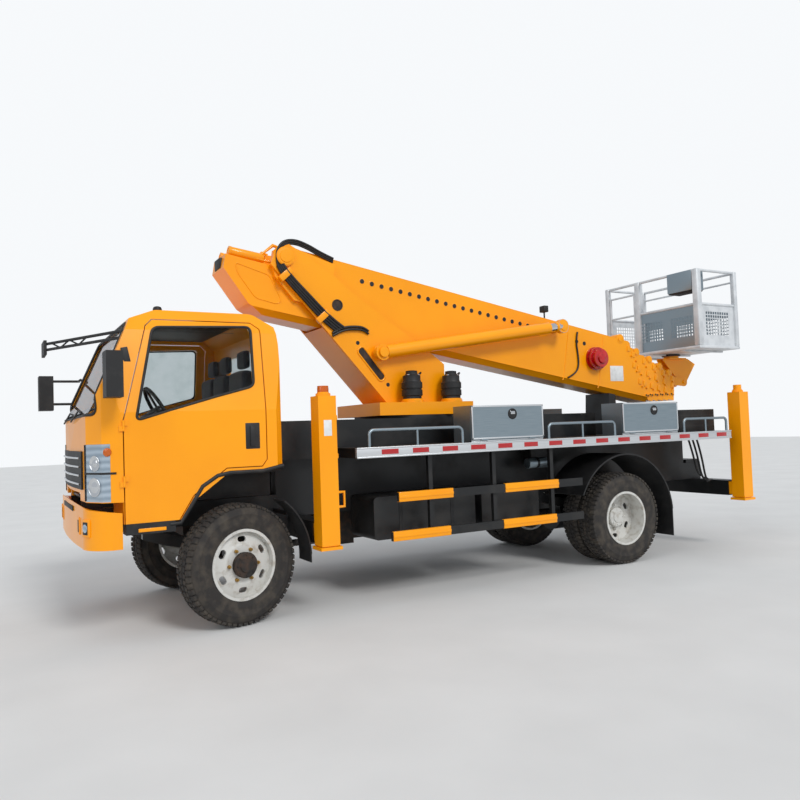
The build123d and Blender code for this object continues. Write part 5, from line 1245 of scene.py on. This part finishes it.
for index in range(4):
    x = box_low.x + 0.06 + index * 0.075
    turned(f"control_knob_{index}", (x, box_high.y, box_low.z + 0.07), (0, 1, 0.3),
           ((0.016, 0), (0.016, 0.006), (0.006, 0.008), (0.006, 0.03), (0.012, 0.034), (0.012, 0.044),
            (0.005, 0.048)),
           "basket_body", RED if index == 3 else MOULDING, 20)
ROTATOR_BASE_Z = 2.3303
turned("rotator_ring", (0, BASKET_Y, ROTATOR_BASE_Z), (0, 0, 1),
       ((0.115, 0), (0.115, 0.026)), "basket_body", BLACK, 48)
for index, x in enumerate((-0.5, 0, 0.5)):
    block(f"floor_rib_{index}", (x - 0.02, BASKET_Y - 0.36, BASKET_FLOOR_Z - 0.02),
          (x + 0.02, BASKET_Y + 0.36, BASKET_FLOOR_Z), "basket_body", BASKET, 0.004)

# Rear: hydraulic hoses between frame and rear sleeve
for index in range(3):
    x = 0.6 + index * 0.06
    droop = 0.12 + index * 0.05
    hose = ((x, at(5.7), 1.26), (x + 0.02, at(5.74), 1.1), (x + 0.03, at(5.8), 0.95 - droop),
            (x + 0.02, at(5.9), 0.86 - droop * 0.4), (x, at(5.95), 0.75))
    tube(f"rear_hose_{index}", hose, 0.012, "chassis", HOSE)

# Brake chambers
for side, name in RIGHT_FIRST:
    for place, y in (("front", FRONT_AXLE_Y), ("rear", REAR_AXLE_Y)):
        turned(f"brake_chamber_{place}_{name}", (side * 0.47, y + 0.11, AXLE_Z + 0.05), (0, 1, 0.15),
               ((0.06, 0), (0.075, 0.01), (0.075, 0.05), (0.08, 0.052), (0.08, 0.062), (0.07, 0.08),
                (0.03, 0.09)),
               "chassis", IRON, 32)

# Stage: a pale floor under a white backdrop
deselect()
bpy.ops.mesh.primitive_plane_add(size=90, location=(0, 0, -0.0005))
ground = bpy.context.object
ground.name = "ground"
ground.data.materials.append(mottled("pale_ground", "DEDEDC", "D6D6D4", (0.8, 0.3, 0.8), Roughness=0.85))

world = bpy.data.worlds.new("studio")
bpy.context.scene.world = world
world.use_nodes = True
world.node_tree.nodes.clear()
sky = add(world.node_tree, "ShaderNodeBackground", {"Color": (0.9, 0.94, 1.0, 1), "Strength": 0.62})
seen = add(world.node_tree, "ShaderNodeBackground", {"Color": (0.93, 0.95, 0.97, 1), "Strength": 1.0})
path = add(world.node_tree, "ShaderNodeLightPath")
blend_sky = add(world.node_tree, "ShaderNodeMixShader", {0: path.outputs["Is Camera Ray"]})
world.node_tree.links.new(sky.outputs["Background"], blend_sky.inputs[1])
world.node_tree.links.new(seen.outputs["Background"], blend_sky.inputs[2])
result = add(world.node_tree, "ShaderNodeOutputWorld")
world.node_tree.links.new(blend_sky.outputs["Shader"], result.inputs["Surface"])

# Two soft suns: place that each shines from, softness in degrees and strength
for place, softness, power in (((9, 1, 8), 18, 1.55), ((3, -9, 6), 40, 0.55)):
    bpy.ops.object.light_add(type="SUN", location=place)
    lamp = bpy.context.object
    lamp.data.angle = radians(softness)
    lamp.data.energy = power
    lamp.rotation_euler = (Vector((0, 0, 1)) - Vector(place)).to_track_quat("-Z", "Y").to_euler()

# Camera at the photograph's place and angle
CAMERA_PLACE = (6.743, at(-1.722), 1.506)
FOCAL_PIXELS = 740.66
FRAME_PIXELS = 800
SENSOR_MM = 36
yaw, pitch, roll = radians(29.262), radians(2.232), radians(-2.027)
forward = Vector((-cos(yaw) * cos(pitch), sin(yaw) * cos(pitch), sin(pitch)))
level_right = forward.cross(Vector((0, 0, 1))).normalized()
level_up = level_right.cross(forward)
right = level_right * cos(roll) + level_up * sin(roll)
up = level_up * cos(roll) - level_right * sin(roll)
camera_data = bpy.data.cameras.new("camera")
camera_data.sensor_width = SENSOR_MM
camera_data.lens = SENSOR_MM * FOCAL_PIXELS / FRAME_PIXELS
camera_data.clip_end = 200
camera = bpy.data.objects.new("camera", camera_data)
bpy.context.collection.objects.link(camera)
turn = Matrix((right, up, -forward)).transposed().to_4x4()
camera.matrix_world = Matrix.Translation(CAMERA_PLACE) @ turn
bpy.context.scene.camera = camera
bpy.context.scene.view_settings.view_transform = "Standard"
